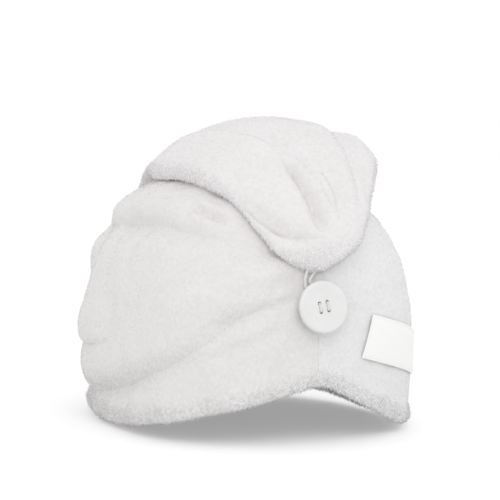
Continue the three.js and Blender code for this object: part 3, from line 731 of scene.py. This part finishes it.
# %% [markdown]
# ## Pile tufts
# Bump can't break an outline, and the fuzzy edge is what tells the eye that this is plush.
# So Geometry Nodes scatter short pointed tufts over the outside, each a little pyramid that
# leans down along the cloth. Particle hair would do it too, but it doesn't export. The first
# two helpers serve every tree: one makes its named inputs, and one plants a thing on points,
# realizes it and gives it its material.

# %% Helpers for trees
def new_tree(name, sockets):
    tree = bpy.data.node_groups.new(name, "GeometryNodeTree")
    tree.interface.new_socket("Geometry", in_out="OUTPUT", socket_type="NodeSocketGeometry")
    for label, kind in {"Geometry": "Geometry", **sockets}.items():
        tree.interface.new_socket(label, in_out="INPUT", socket_type=f"NodeSocket{kind}")
    return tree, add_node(tree, "NodeGroupInput").outputs


def plant(tree, spots, thing, turned, scale, finish):
    planted = {"Points": spots, "Instance": thing, "Rotation": turned, "Scale": scale}
    planted = add_node(tree, "GeometryNodeInstanceOnPoints", None, planted).outputs[0]
    real = add_node(tree, "GeometryNodeRealizeInstances", None, {"Geometry": planted}).outputs[0]
    dressed = {"Geometry": real, "Material": finish}
    dressed = add_node(tree, "GeometryNodeSetMaterial", None, dressed).outputs[0]
    add_node(tree, "NodeGroupOutput", None, {"Geometry": dressed})


# %% Which way a tuft points
def tuft_direction(tree, given, upright):
    kind = "ShaderNodeVectorMath"
    stray = {"Min": (-0.5, -0.5, -0.5), "Max": (0.5, 0.5, 0.5)}
    stray = add_node(tree, "FunctionNodeRandomValue", {"data_type": "FLOAT_VECTOR"}, stray)
    # the lean is laid along the cloth, so that no tuft points into it
    into = add_node(tree, kind, {"operation": "PROJECT"}, {0: given["Lean"], 1: upright})
    along = {0: given["Lean"], 1: into.outputs[0]}
    along = add_node(tree, kind, {"operation": "SUBTRACT"}, along)
    standing = {0: upright, "Scale": given["Stand"]}
    standing = add_node(tree, kind, {"operation": "SCALE"}, standing)
    leaning = {0: standing.outputs[0], 1: along.outputs[0]}
    leaning = add_node(tree, kind, {"operation": "ADD"}, leaning)
    pointing = {0: leaning.outputs[0], 1: stray.outputs[0]}
    return add_node(tree, kind, {"operation": "ADD"}, pointing).outputs[0]


# %% The tree that grows tufts
def pile_tree():
    tree, given = new_tree("plush_pile", {
        "Tufts per mm2": "Float", "Tuft length mm": "Float", "Tuft width mm": "Float",
        "Stand": "Float", "Lean": "Vector", "Seed": "Int", "Plush": "Material",
    })
    share, local = (
        add_node(tree, "GeometryNodeInputNamedAttribute", None, {"Name": name}).outputs[0]
        for name in ("pile", "size")
    )
    any_size = {2: 0.65, 3: 1.35}
    any_size = add_node(tree, "FunctionNodeRandomValue", {"data_type": "FLOAT"}, any_size)
    multiplied = []
    # tufts in a square metre, the tuft's radius and length in metres, and its own size
    for first, second in (
        (given["Tufts per mm2"], 1e6), (given["Tuft width mm"], 0.0005),
        (given["Tuft length mm"], 0.001), (any_size.outputs[1], local),
    ):
        factors = {0: first, 1: second}
        made = add_node(tree, "ShaderNodeMath", {"operation": "MULTIPLY"}, factors)
        multiplied.append(made.outputs[0])
    per_m2, radius, length, size = multiplied
    density = add_node(tree, "ShaderNodeMath", {"operation": "MULTIPLY"}, {0: per_m2, 1: share})
    spread = {"Mesh": given["Geometry"], "Density": density.outputs[0], "Seed": given["Seed"]}
    spread = add_node(tree, "GeometryNodeDistributePointsOnFaces", None, spread).outputs
    tuft = {"Vertices": 3, "Radius Top": 0.0, "Radius Bottom": radius, "Depth": length}
    tuft = add_node(tree, "GeometryNodeMeshCone", None, tuft).outputs["Mesh"]
    pointing = {"Vector": tuft_direction(tree, given, spread["Normal"])}
    turned = add_node(tree, "FunctionNodeAlignRotationToVector", {"axis": "Z"}, pointing)
    plant(tree, spread["Points"], tuft, turned.outputs[0], size, given["Plush"])
    return tree


grow_pile = pile_tree()
print("the pile's tree has", len(grow_pile.nodes), "nodes")

# %% [markdown]
# ## Growing the pile on patches of cloth
# A patch is a copy of the faces where pile shows, cut from a finished skin. Two numbers on
# each face say how dense the pile is there and how long: sparse and short on the open cloth,
# dense and long along the hem and the tail's rim, and none where the tail covers the hood.
# Several patches keep each mesh a sensible size.

# %% Run a Geometry Nodes tree and keep its result as a plain mesh
def grown(name, bed, tree, inputs):
    modifier = bed.modifiers.new("grow", "NODES")
    modifier.node_group = tree
    for item in tree.interface.items_tree:
        if item.item_type == "SOCKET" and item.in_out == "INPUT" and item.name in inputs:
            modifier[item.identifier] = inputs[item.name]
    bpy.context.view_layer.update()
    seen = bed.evaluated_get(bpy.context.evaluated_depsgraph_get())
    mesh = bpy.data.meshes.new_from_object(seen)
    mesh.name = name
    made = bpy.data.objects.new(name, mesh)
    scene.collection.objects.link(made)
    bed.modifiers.remove(modifier)
    bpy.data.objects.remove(bed)
    mesh.shade_smooth()
    return made


# %% Cut a patch of cloth and measure its faces
def patch_of(skin, chosen, density, size):
    mesh = skin.data
    faces = [list(mesh.polygons[i].vertices) for i in np.nonzero(chosen)[0]]
    bed_mesh = bpy.data.meshes.new("pile_bed")
    bed_mesh.from_pydata([v.co for v in mesh.vertices], [], faces)
    bed_mesh.shade_smooth()
    for name, values in (("pile", density), ("size", size)):
        layer = bed_mesh.attributes.new(name, "FLOAT", "FACE")
        layer.data.foreach_set("value", values[chosen].astype(np.float32))
    bed = bpy.data.objects.new("pile_bed", bed_mesh)
    scene.collection.objects.link(bed)
    return bed


def face_facts(skin):
    mesh = skin.data
    centre = np.empty(len(mesh.polygons) * 3)
    normal = np.empty(len(mesh.polygons) * 3)
    mesh.polygons.foreach_get("center", centre)
    mesh.polygons.foreach_get("normal", normal)
    return centre.reshape(-1, 3) * 1000, normal.reshape(-1, 3)


# %% The pile's settings and its place round the head
tufts_per_mm2 = 1.35


def pile_settings(length_mm, width_mm, stand, seed, finish):
    return {
        "Tufts per mm2": tufts_per_mm2, "Tuft length mm": length_mm, "Tuft width mm": width_mm,
        "Stand": stand, "Lean": (0.0, 0.0, -0.8), "Seed": seed, "Plush": finish,
    }


def round_the_head(centre):
    from_axis = centre - np.array([0, 0, widest_height])
    reach = np.linalg.norm(from_axis, axis=1)
    over = np.degrees(np.arctan2(from_axis[:, 2], centre[:, 1]))
    across = np.degrees(np.arcsin(np.clip(from_axis[:, 0] / reach, -1, 1)))
    return from_axis, reach, over, across


def under_tail(over, across):
    tucked = np.abs(across) < tail_reach(over, across) - 3
    return (over > tail_tip + 3) & (over < tail_brow - 3) & tucked


# %% Pile on the hood
# on open cloth, added at the hem, and added on the big roll
hood_density, hood_size = (0.25, 2.0, 1.4), (0.42, 0.58, 0.2)
# mm above the hem's edge up to which the pile is a piece of its own and stands up more
hem_band = 16


def hood_pile(skin, side, finish):
    centre, normal = face_facts(skin)
    degrees = np.degrees(np.arctan2(centre[:, 0], centre[:, 1]))
    from_axis, _, over, across = round_the_head(centre)
    outward = from_axis[:, 0] * normal[:, 0] + from_axis[:, 1] * normal[:, 1]
    outward += np.maximum(0, from_axis[:, 2]) * normal[:, 2]
    near_hem = centre[:, 2] - hem_level(degrees)
    shown = ((outward > 0) | (near_hem < 1)) & ~under_tail(over, across)
    shown &= np.abs(degrees) > 0.4
    on_roll = roll_band(degrees, centre[:, 2], 8)
    at_hem = 1 - smooth_step((near_hem - 1) / 9)
    density, size = (
        plain + hem * at_hem + roll * on_roll for plain, hem, roll in (hood_density, hood_size)
    )
    name = f"pile_hood_{'left' if side > 0 else 'right'}"
    seed = 20 + (10 if side > 0 else 0)
    made = []
    for part, (chosen, stand, plush) in enumerate((
        (shown & (near_hem <= hem_band), 0.8, hem_pile_painted_light),
        (shown & (near_hem >= hem_band), 0.45, finish),
    )):
        settings = pile_settings(2.4, 0.5, stand, seed=seed + part, finish=plush)
        bed = patch_of(skin, chosen, density, size)
        made.append(grown(f"{name}_{part + 1}", bed, grow_pile, settings))
        print(made[-1].name, "has", len(made[-1].data.polygons), "faces")
    return made


pile_left = hood_pile(hood_left, 1, left_pile_painted_light)
pile_right = hood_pile(hood_right, -1, right_pile_painted_light)

# %% Pile on the tail
# on open cloth, and added near the tail's edges
tail_density, tail_size = (0.25, 1.5), (0.5, 0.5)
centre, normal = face_facts(tail)
from_axis, reach, over, across = round_the_head(centre)
over = np.where(over < 0, over + 360, over)
outward = (from_axis * normal).sum(axis=1) / reach
beside = np.abs(across) / np.maximum(tail_reach(over, across), 0.1)
near_edge = np.maximum(smooth_step((beside - 0.86) / 0.12), smooth_step((29 - over) / 5))
density, size = (plain + added * near_edge for plain, added in (tail_density, tail_size))
pile_tail = []
for part, (first, last) in enumerate(((0, 70), (70, 110), (110, 260))):
    chosen = (outward > -0.35) & (over >= first) & (over < last)
    bed = patch_of(tail, chosen, density, size)
    settings = pile_settings(2.0, 0.45, stand=0.65, seed=50 + part, finish=tail_pile_painted_light)
    pile_tail.append(grown(f"pile_tail_{part + 1}", bed, grow_pile, settings))
    print(pile_tail[-1].name, "has", len(pile_tail[-1].data.polygons), "faces")

# %% [markdown]
# ## The button
# A plain cast-resin coat button, 29 mm wide. A turned profile gives its soft edge and shallow
# dish, and four pins cut the holes. It stands on its shank, tilted with the cloth, so it
# gets a frame of its own: right, up the cloth, and out from the head.

# %% The button's own frame
button_height, button_turn = 69.5, 9
out = Vector(crown_normal(np.array(0.0), meridian_at(np.array(button_height))))
across_button = Vector((-1, 0, 0))
up_button = out.cross(across_button)
seat = plain_crown(np.array(0.0), meridian_at(np.array(button_height)))
seat = Vector(seat) + out * float(hood_lift(np.array(0.0), seat[2]))
turned = Matrix((across_button, up_button, out)).transposed().to_4x4()
button_frame = Matrix.Translation(seat) @ turned
button_frame = button_frame @ Matrix.Rotation(math.radians(button_turn), 4, "Z")
print("the button sits at", [round(v, 1) for v in seat], "mm")


# %% A turned piece from its profile
def turned_piece(name, rows, segments, frame_of_piece):
    points, faces = [], []
    for radius, height in rows[1:-1]:
        for k in range(segments):
            a = 2 * math.pi * k / segments
            points.append((radius * math.cos(a), radius * math.sin(a), height))
    rings = len(rows) - 2
    for i in range(rings - 1):
        low, high = i * segments, (i + 1) * segments
        for k in range(segments):
            n = (k + 1) % segments
            faces.append([low + k, low + n, high + n, high + k])
    points += [(0, 0, rows[0][1]), (0, 0, rows[-1][1])]
    for k in range(segments):
        n = (k + 1) % segments
        faces.append([len(points) - 2, n, k])
        faces.append([len(points) - 1, (rings - 1) * segments + k, (rings - 1) * segments + n])
    placed = [frame_of_piece @ Vector(p) for p in points]
    return mesh_object(name, [tuple(p) for p in placed], faces)


# %% The button's profile
button_radius, button_back, button_front = 14.5, 3.6, 7.4
edge, dish = 1.4, 0.4
# the dish falls from 0.88 to 0.58 of the radius
dish_out, dish_fall, dish_steps = 0.88, 0.3, 8


def rounded_edge(radius, low, high, size, steps):
    rows = []
    for i in range(steps + 1):
        a = math.pi / 2 * i / steps
        rows.append((radius - size + size * math.sin(a), low + size - size * math.cos(a)))
    for i in range(steps + 1):
        a = math.pi / 2 * i / steps
        rows.append((radius - size + size * math.cos(a), high - size + size * math.sin(a)))
    return rows


face_rows = []
for i in range(dish_steps + 1):
    t = i / dish_steps
    depth = dish * float(smooth_step(np.array(t)))
    face_rows.append((button_radius * (dish_out - dish_fall * t), button_front - depth))
face_rows += [(button_radius * s, button_front - dish) for s in (0.5, 0.4, 0.2)]
button_rows = (
    [(0, button_back)]
    + rounded_edge(button_radius, button_back, button_front, edge, steps=6)
    + face_rows
    + [(0, button_front - dish)]
)
button = turned_piece("resin_button", button_rows, segments=96, frame_of_piece=button_frame)
print("the button's profile has", len(button_rows), "rows")

# %% Four holes with a countersunk edge
hole_place, hole_radius = 2.4, 0.95
wide = hole_radius + 0.3
# the pin widens from just under the dish to just above it, so no ring lies in its face
pin_rows = [(0, 2), (hole_radius, 2), (hole_radius, 6.62), (wide, 7.06), (wide, 9), (0, 9)]
cutters = []
for x in (-hole_place, hole_place):
    for y in (-hole_place, hole_place):
        placed = button_frame @ Matrix.Translation((x, y, 0))
        cutters.append(turned_piece("hole_pin", pin_rows, segments=28, frame_of_piece=placed))
for cutter in cutters:
    cut = button.modifiers.new("hole", "BOOLEAN")
    cut.operation, cut.solver, cut.object = "DIFFERENCE", "EXACT", cutter
bpy.context.view_layer.update()
seen = button.evaluated_get(bpy.context.evaluated_depsgraph_get())
holed = bpy.data.meshes.new_from_object(seen)
button.modifiers.clear()
button.data = holed
for cutter in cutters:
    bpy.data.objects.remove(cutter)
button.data.shade_smooth()
button.data.set_sharp_from_angle(angle=math.radians(40))
print("the button has", len(button.data.polygons), "faces")

# %% [markdown]
# ## Sewing thread
# The button hangs on a wound shank, and its thread shows as two short bundles in the holes.
# Tubes along short paths make both. A strand is a little rope, so its radius carries a
# spiral, which is cheaper than modelling each ply.

# %% A spiral-ribbed tube along a path
def rope(path, radius, sides, plies, rib, pitch, closed=False):
    path = np.asarray(path, dtype=float)
    count = len(path)
    ahead = np.roll(path, -1, axis=0) - np.roll(path, 1, axis=0)
    if not closed:
        ahead[0], ahead[-1] = path[1] - path[0], path[-1] - path[-2]
    ahead /= np.linalg.norm(ahead, axis=1, keepdims=True)
    normal = np.cross(ahead[0], [0.3, 0.2, 0.9])
    normals = []
    for t in ahead:
        normal = normal - t * (normal @ t)
        normal /= np.linalg.norm(normal)
        normals.append(normal.copy())
    normals = np.array(normals)
    binormals = np.cross(ahead, normals)
    run = np.r_[0, np.cumsum(np.linalg.norm(np.diff(path, axis=0), axis=1))]
    points = []
    for i in range(count):
        for k in range(sides):
            a = 2 * math.pi * k / sides
            size = radius * (1 + rib * math.cos(plies * a + 2 * math.pi * run[i] / pitch))
            points.append(path[i] + size * (math.cos(a) * normals[i] + math.sin(a) * binormals[i]))
    faces = []
    for i in range(count if closed else count - 1):
        j = (i + 1) % count
        for k in range(sides):
            n = (k + 1) % sides
            faces.append([i * sides + k, i * sides + n, j * sides + n, j * sides + k])
    if not closed:
        faces.append(list(range(sides))[::-1])
        faces.append([(count - 1) * sides + k for k in range(sides)])
    return np.array(points), faces


def join_parts(name, parts):
    points, faces, start = [], [], 0
    for part_points, part_faces in parts:
        points.append(part_points)
        faces += [[v + start for v in face] for face in part_faces]
        start += len(part_points)
    return mesh_object(name, np.concatenate(points), faces)


# %% Bundles of thread in the holes
def on_button(points):
    return np.array([tuple(button_frame @ Vector(p)) for p in points])


bow_points, bow_top, bow_drop, strand_gap, thread_foot = 24, 7.5, 0.8, 0.5, 4.2
thread_twist = {"sides": 10, "plies": 3, "rib": 0.12, "pitch": 1.1}
thread_parts = []
for x in (-hole_place, hole_place):
    for strand in (-1, 0, 1):
        bow = []
        for i in range(bow_points + 1):
            t = i / bow_points
            end = abs(2 * t - 1)
            y = (t - 0.5) * 2 * hole_place
            top = bow_top - bow_drop * end**6 - 0.1 * abs(strand)
            bow.append((x + strand * strand_gap * (1 - 0.1 * end), y, top))
        first = (bow[0][0], bow[0][1] - 0.1, thread_foot)
        last = (bow[-1][0], bow[-1][1] + 0.1, thread_foot)
        thread_parts.append(rope(on_button([first, *bow, last]), 0.3, **thread_twist))
print("the stitches over the button are", len(thread_parts), "strands")

# %% The wound shank behind the button
shank_radius, shank_foot, shank_rise, shank_points, points_a_turn = 2.0, 0.7, 2.6, 240, 28
coil = []
for i in range(shank_points):
    a = 2 * math.pi * i / points_a_turn
    height = shank_foot + shank_rise * i / (shank_points - 1)
    coil.append((shank_radius * math.cos(a), shank_radius * math.sin(a), height))
thread_parts.append(rope(on_button(coil), 0.36, **thread_twist))
thread = join_parts("button_sewing_thread", thread_parts)
print("the thread has", len(thread.data.polygons), "faces")

# %% [markdown]
# ## The elastic loop
# A thin round elastic leaves the tail's tip in two strands, crosses and hooks round the
# button's shank. Its cover is braided, which shows at this size as fine slanting ribs, so it
# is a rope like the thread's, with flatter ribs. A curve with a round bevel would stay bare.

# %% Elastic loop
# mm round the nape towards the wearer's left, and mm above the button's middle
loop_path = [
    (5.0, 26.5), (5.4, 21.0), (7.8, 14.4), (6.6, 7.0), (4.3, 0.6), (2.2, -3.2), (-1.9, -3.6),
    (-4.2, 0.2), (-2.4, 5.2), (1.8, 9.6), (4.9, 14.2), (1.6, 18.4), (-1.6, 21.6), (-1.8, 26.5),
    (1.6, 29.2),
]


def smooth_loop(rows, steps):
    rows = np.array(rows, dtype=float)
    made = []
    for i in range(len(rows)):
        p0, p1, p2, p3 = (rows[(i + k) % len(rows)] for k in (-1, 0, 1, 2))
        for s in range(steps):
            t = s / steps
            made.append(
                0.5 * (2 * p1 + (p2 - p0) * t + (2 * p0 - 5 * p1 + 4 * p2 - p3) * t * t
                       + (3 * p1 - p0 - 3 * p2 + p3) * t**3)
            )
    return np.array(made)


loop_steps, loop_clear, loop_radius = 26, 1.35, 0.86
flat_loop = smooth_loop(loop_path, loop_steps)
loop_degrees = np.degrees(flat_loop[:, 0] / half_length)
loop_height = button_height + flat_loop[:, 1]
loop_lift = hood_lift(loop_degrees, loop_height) + loop_clear
loop_meridian = meridian_at(loop_height)
loop_points = plain_crown(loop_degrees, loop_meridian)
loop_points = loop_points + crown_normal(loop_degrees, loop_meridian) * loop_lift[:, None]
loop_skin = rope(loop_points, loop_radius, 12, plies=3, rib=0.07, pitch=1.8, closed=True)
elastic = join_parts("elastic_loop_cord", [loop_skin])
loop_run = np.linalg.norm(np.diff(loop_points, axis=0), axis=1).sum()
print("the loop is", round(float(loop_run)), "mm round")

# %% [markdown]
# ## The bare label
# A woven satin label is sewn down along its edge and carries nothing. It follows the cloth,
# sinks a little where the stitches pull, and its middle stands free. It is 50 by 25 mm on the
# round plan that the angles are counted on, and 58 by 25.5 mm on the squarer nape.

# %% The label's place on the cloth
label_length, label_width, label_thick = 50, 25, 0.5
label_around, label_height, label_tilt = -30, 45, math.radians(17)
# how far the label stands on the cloth, how far its middle swells, and where it is stitched
label_stand, label_puff, label_pull, stitch_inset = 0.2, 0.5, 0.25, 1.3


def label_place(x, y, offset):
    round_it = label_around * mm_per_degree - x * math.cos(label_tilt) - y * math.sin(label_tilt)
    height = label_height + y * math.cos(label_tilt) - x * math.sin(label_tilt)
    degrees = round_it / mm_per_degree
    meridian = meridian_at(height)
    lift = hood_lift(degrees, height) + 0.35 * slack(plain_crown(degrees, meridian), 34, 3)
    lift = lift + offset
    return plain_crown(degrees, meridian) + crown_normal(degrees, meridian) * lift[..., None]


# %% The label's closed skin
def label_skin():
    columns, rows = 100, 50
    u, v = np.meshgrid(np.linspace(-1, 1, columns + 1), np.linspace(-1, 1, rows + 1))
    x, y = u * label_length / 2, v * label_width / 2
    inset = np.minimum(label_length / 2 - np.abs(x), label_width / 2 - np.abs(y))
    pulled = label_pull * np.exp(-(((inset - stitch_inset) / 0.5) ** 2))
    puff = label_puff * smooth_step((inset - 1.2) / 5) - pulled
    edge_round = 0.2 * (1 - smooth_step(inset / 0.5))
    # the face takes more of the swell than the back, so the label is thickest in its middle
    top = label_place(x, y, label_stand + label_thick - edge_round + 0.6 * puff)
    bottom = label_place(x, y, label_stand + 0 * x + 0.4 * puff)
    count = (columns + 1) * (rows + 1)
    index = np.arange(count).reshape(rows + 1, columns + 1)
    faces = []
    for j in range(rows):
        for i in range(columns):
            quad = [index[j, i], index[j, i + 1], index[j + 1, i + 1], index[j + 1, i]]
            faces.append([int(q) for q in quad])
            faces.append([int(q) + count for q in quad[::-1]])
    sides = (index[0, :], index[1:, -1], index[-1, -2::-1], index[-2:0:-1, 0])
    rim = [int(v) for side in sides for v in side]
    for a, b in zip(rim, rim[1:] + rim[:1]):
        faces.append([b, a, a + count, b + count])
    points = np.concatenate([top.reshape(-1, 3), bottom.reshape(-1, 3)])
    return mesh_object("satin_label", points, faces)


label = label_skin()
print("the label has", len(label.data.polygons), "faces")

# %% [markdown]
# ## Stitches round the label
# A row of small stitches holds the label. Geometry Nodes place one short thread on each point
# of a resampled line, turned along it, which is the usual way for anything that follows a
# path.

# %% Stitch tree
def stitch_tree():
    sizes = ("Stitch length mm", "Stitch pitch mm", "Thread mm")
    tree, given = new_tree(
        "label_stitches", {**{name: "Float" for name in sizes}, "Thread": "Material"}
    )
    length, pitch, thick = (
        add_node(tree, "ShaderNodeMath", {"operation": "MULTIPLY"}, {0: given[name], 1: 0.001})
        for name in sizes
    )
    line = add_node(tree, "GeometryNodeMeshToCurve", None, {"Mesh": given["Geometry"]})
    spaced = {"Curve": line.outputs[0], "Length": pitch.outputs[0]}
    spaced = add_node(tree, "GeometryNodeCurveToPoints", {"mode": "LENGTH"}, spaced).outputs
    stitch = {"Segments": 8, "Rings": 6, "Radius": 0.5}
    stitch = add_node(tree, "GeometryNodeMeshUVSphere", None, stitch).outputs["Mesh"]
    size = {"X": thick.outputs[0], "Y": thick.outputs[0], "Z": length.outputs[0]}
    size = add_node(tree, "ShaderNodeCombineXYZ", None, size).outputs[0]
    plant(tree, spaced["Points"], stitch, spaced["Rotation"], size, given["Thread"])
    return tree


sew = stitch_tree()
print("the stitches' tree has", len(sew.nodes), "nodes")

# %% [markdown]
# ## Thread, elastic, resin and satin
# Cotton-wrapped thread is matt with a fine twist. Braided elastic has a diagonal rib. Cast
# polyester resin, with an IOR near 1.55, is smooth and gives a soft, even gloss. Woven satin
# has long floats across it, which give it a faint sheen. One function serves all four, as each
# is a fine grain of its own size.

# %% Four small materials
def fine_material(name, light, shade, spacing_mm, bump_mm, stretch=(1, 1, 1), **sockets):
    made, tree = new_material(name)
    place = add_node(tree, "ShaderNodeTexCoord").outputs["Object"]
    mapped = add_node(tree, "ShaderNodeMapping", None, {"Vector": place, "Scale": stretch})
    grain = {"Vector": mapped.outputs[0], "Scale": 1000 / spacing_mm, "Detail": 3.0}
    grain = add_node(tree, "ShaderNodeTexNoise", None, grain).outputs["Fac"]
    # the same grain gives colour and relief, so the low places of the grain take the darker colour:
    # painted shade
    finish_material(tree, grain, grain, (shade, light), (0.3, 0.7), bump_mm, 0.5, sockets)
    return made


# smooth and off-white, with a broad soft highlight
resin = fine_material(
    "cast_polyester_resin", "#e3e3e3", "#dfdfde", 9, 0.03, Roughness=0.34, IOR=1.55
)
# matt, a little creamier than the cloth
cotton = fine_material(
    "cotton_wrapped_thread", "#e2e1df", "#dbdad7", 0.25, 0.05, Roughness=0.85
)
# matt, with the low grain between its yarns painted darker: painted shade in the gaps
braid = fine_material("braided_elastic", "#e9e8e6", "#d2d0cd", 0.5, 0.08, Roughness=0.7)
# the whitest surface, its grain drawn out along the floats
satin = fine_material(
    "woven_satin", "#f6f6f5", "#efefee", 0.35, 0.05, (1, 1, 9),
    Roughness=0.5, **{"Sheen Weight": 0.2},
)
for piece, finish in ((button, resin), (thread, cotton), (elastic, braid), (label, satin)):
    piece.data.materials.clear()
    piece.data.materials.append(finish)
    print(piece.name, "wears", finish.name)

# %% Stitches along the label's edge
def label_stitches():
    w, h = label_length / 2 - stitch_inset, label_width / 2 - stitch_inset
    corners = [(-w, -h), (w, -h), (w, h), (-w, h), (-w, -h)]
    run = []
    for (x0, y0), (x1, y1) in zip(corners, corners[1:]):
        steps = int(math.hypot(x1 - x0, y1 - y0))
        run += [(x0 + (x1 - x0) * s / steps, y0 + (y1 - y0) * s / steps) for s in range(steps)]
    run = np.array(run)
    # the middle of a stitch lies a little under the label's face, as its ends go through it
    sunk = np.full(len(run), 0.3 + label_thick - 0.16)
    points = label_place(run[:, 0], run[:, 1], sunk)
    mesh = bpy.data.meshes.new("stitch_line")
    ends = [(i, (i + 1) % len(run)) for i in range(len(run))]
    mesh.from_pydata((points * 0.001).tolist(), ends, [])
    line = bpy.data.objects.new("stitch_line", mesh)
    scene.collection.objects.link(line)
    settings = {
        "Stitch length mm": 1.7, "Stitch pitch mm": 2.2, "Thread mm": 0.3, "Thread": satin,
    }
    return grown("label_sewing_stitches", line, sew, settings)


stitches = label_stitches()
print("the stitches have", len(stitches.data.polygons), "faces")

# %% [markdown]
# ## What each piece stands for
# Every finished piece rides on the one body and stands for its solid, which is hidden. The
# panels are sheets of cloth, and the left one's area is printed as half that of its closed
# skin; the tail is a soft roll. Real fibres are far thinner than these tufts and let
# light through, so in the render the pile casts no shadow and bounced light passes it.

# %% Riding and replacing
stands_for = {
    hood_left: "crown_left_panel",
    hood_right: "crown_right_panel",
    tail: "twisted_tail",
    elastic: "elastic_loop",
    button: "button",
    thread: "button_thread",
    label: "label",
}
pile = pile_left + pile_right + pile_tail
for tufts in pile:
    tufts.visible_shadow = False
    tufts.visible_diffuse = False
for piece in [*stands_for, stitches, *pile]:
    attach(piece, "root")
for piece, node in stands_for.items():
    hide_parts(node)


# %% The panel's area
def skin_area(piece):
    return sum(face.area for face in piece.data.polygons) / 2


print("panel area in square metres:", round(skin_area(hood_left), 4))

# %% [markdown]
# ## Floor, light and background
# A white towel on a white ground lives on its soft shadows. The floor lies just under the
# lowest hem, a big soft light stands behind the camera, and a bright even world fills the
# creases, so that only deep folds turn grey. The floor glows a little, and it and the world
# are brighter to the camera than to the towel, so the ground turns white without lighting
# the towel flat. Both belong to the picture and not to the towel.

# %% Floor
floor_half, floor_height = 30, -0.006
floor_glow, floor_glow_seen = 0.12, 0.25
corners = [
    (x * floor_half, y * floor_half, floor_height) for x, y in ((-1, -1), (1, -1), (1, 1), (-1, 1))
]
floor_mesh = bpy.data.meshes.new("studio_floor")
floor_mesh.from_pydata(corners, [], [(0, 1, 2, 3)])
floor = bpy.data.objects.new("studio_floor", floor_mesh)
scene.collection.objects.link(floor)
ground, ground_tree = new_material("white_studio_floor")


def brighter_to_camera(tree, others, camera):
    ray = add_node(tree, "ShaderNodeLightPath").outputs["Is Camera Ray"]
    span = {"Value": ray, "To Min": others, "To Max": camera}
    return add_node(tree, "ShaderNodeMapRange", None, span).outputs[0]


ground_skin = add_node(ground_tree, "ShaderNodeBsdfPrincipled", None, {
    "Base Color": linear("#e4e4e4"), "Roughness": 1.0, "Specular IOR Level": 0.0,
    "Emission Color": linear("#ffffff"),
    "Emission Strength": brighter_to_camera(ground_tree, floor_glow, floor_glow_seen),
})
add_node(ground_tree, "ShaderNodeOutputMaterial", None, {"Surface": ground_skin.outputs["BSDF"]})
floor_mesh.materials.append(ground)
print("the floor lies at", floor_height, "m")

# %% Light and world
key_place = view_back * 1.3 + view_up * 0.9 + view_right * 0.15
key_towards = Vector((0, 0, 0.07))
key_data = bpy.data.lights.new("key_light", "AREA")
key_data.shape, key_data.size, key_data.energy = "DISK", 0.9, 3.0
key = bpy.data.objects.new("key_light", key_data)
key.location = key_place
key.rotation_euler = (key_towards - key_place).to_track_quat("-Z", "Y").to_euler()
scene.collection.objects.link(key)

world = bpy.data.worlds.new("white_studio")
scene.world = world
world.use_nodes = True
sky = world.node_tree
sky.nodes.clear()
studio = {"Color": linear("#ffffff"), "Strength": brighter_to_camera(sky, 1.0, 1.1)}
studio = add_node(sky, "ShaderNodeBackground", None, studio)
add_node(sky, "ShaderNodeOutputWorld", None, {"Surface": studio.outputs[0]})
scene.view_settings.view_transform = "Standard"
scene.view_settings.look = "None"
print("the key light gives", key_data.energy, "W")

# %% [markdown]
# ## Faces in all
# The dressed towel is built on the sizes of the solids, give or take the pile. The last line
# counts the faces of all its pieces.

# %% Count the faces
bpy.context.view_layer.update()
total = sum(len(p.data.polygons) for p in [*stands_for, stitches, *pile])
print("faces in all:", total)
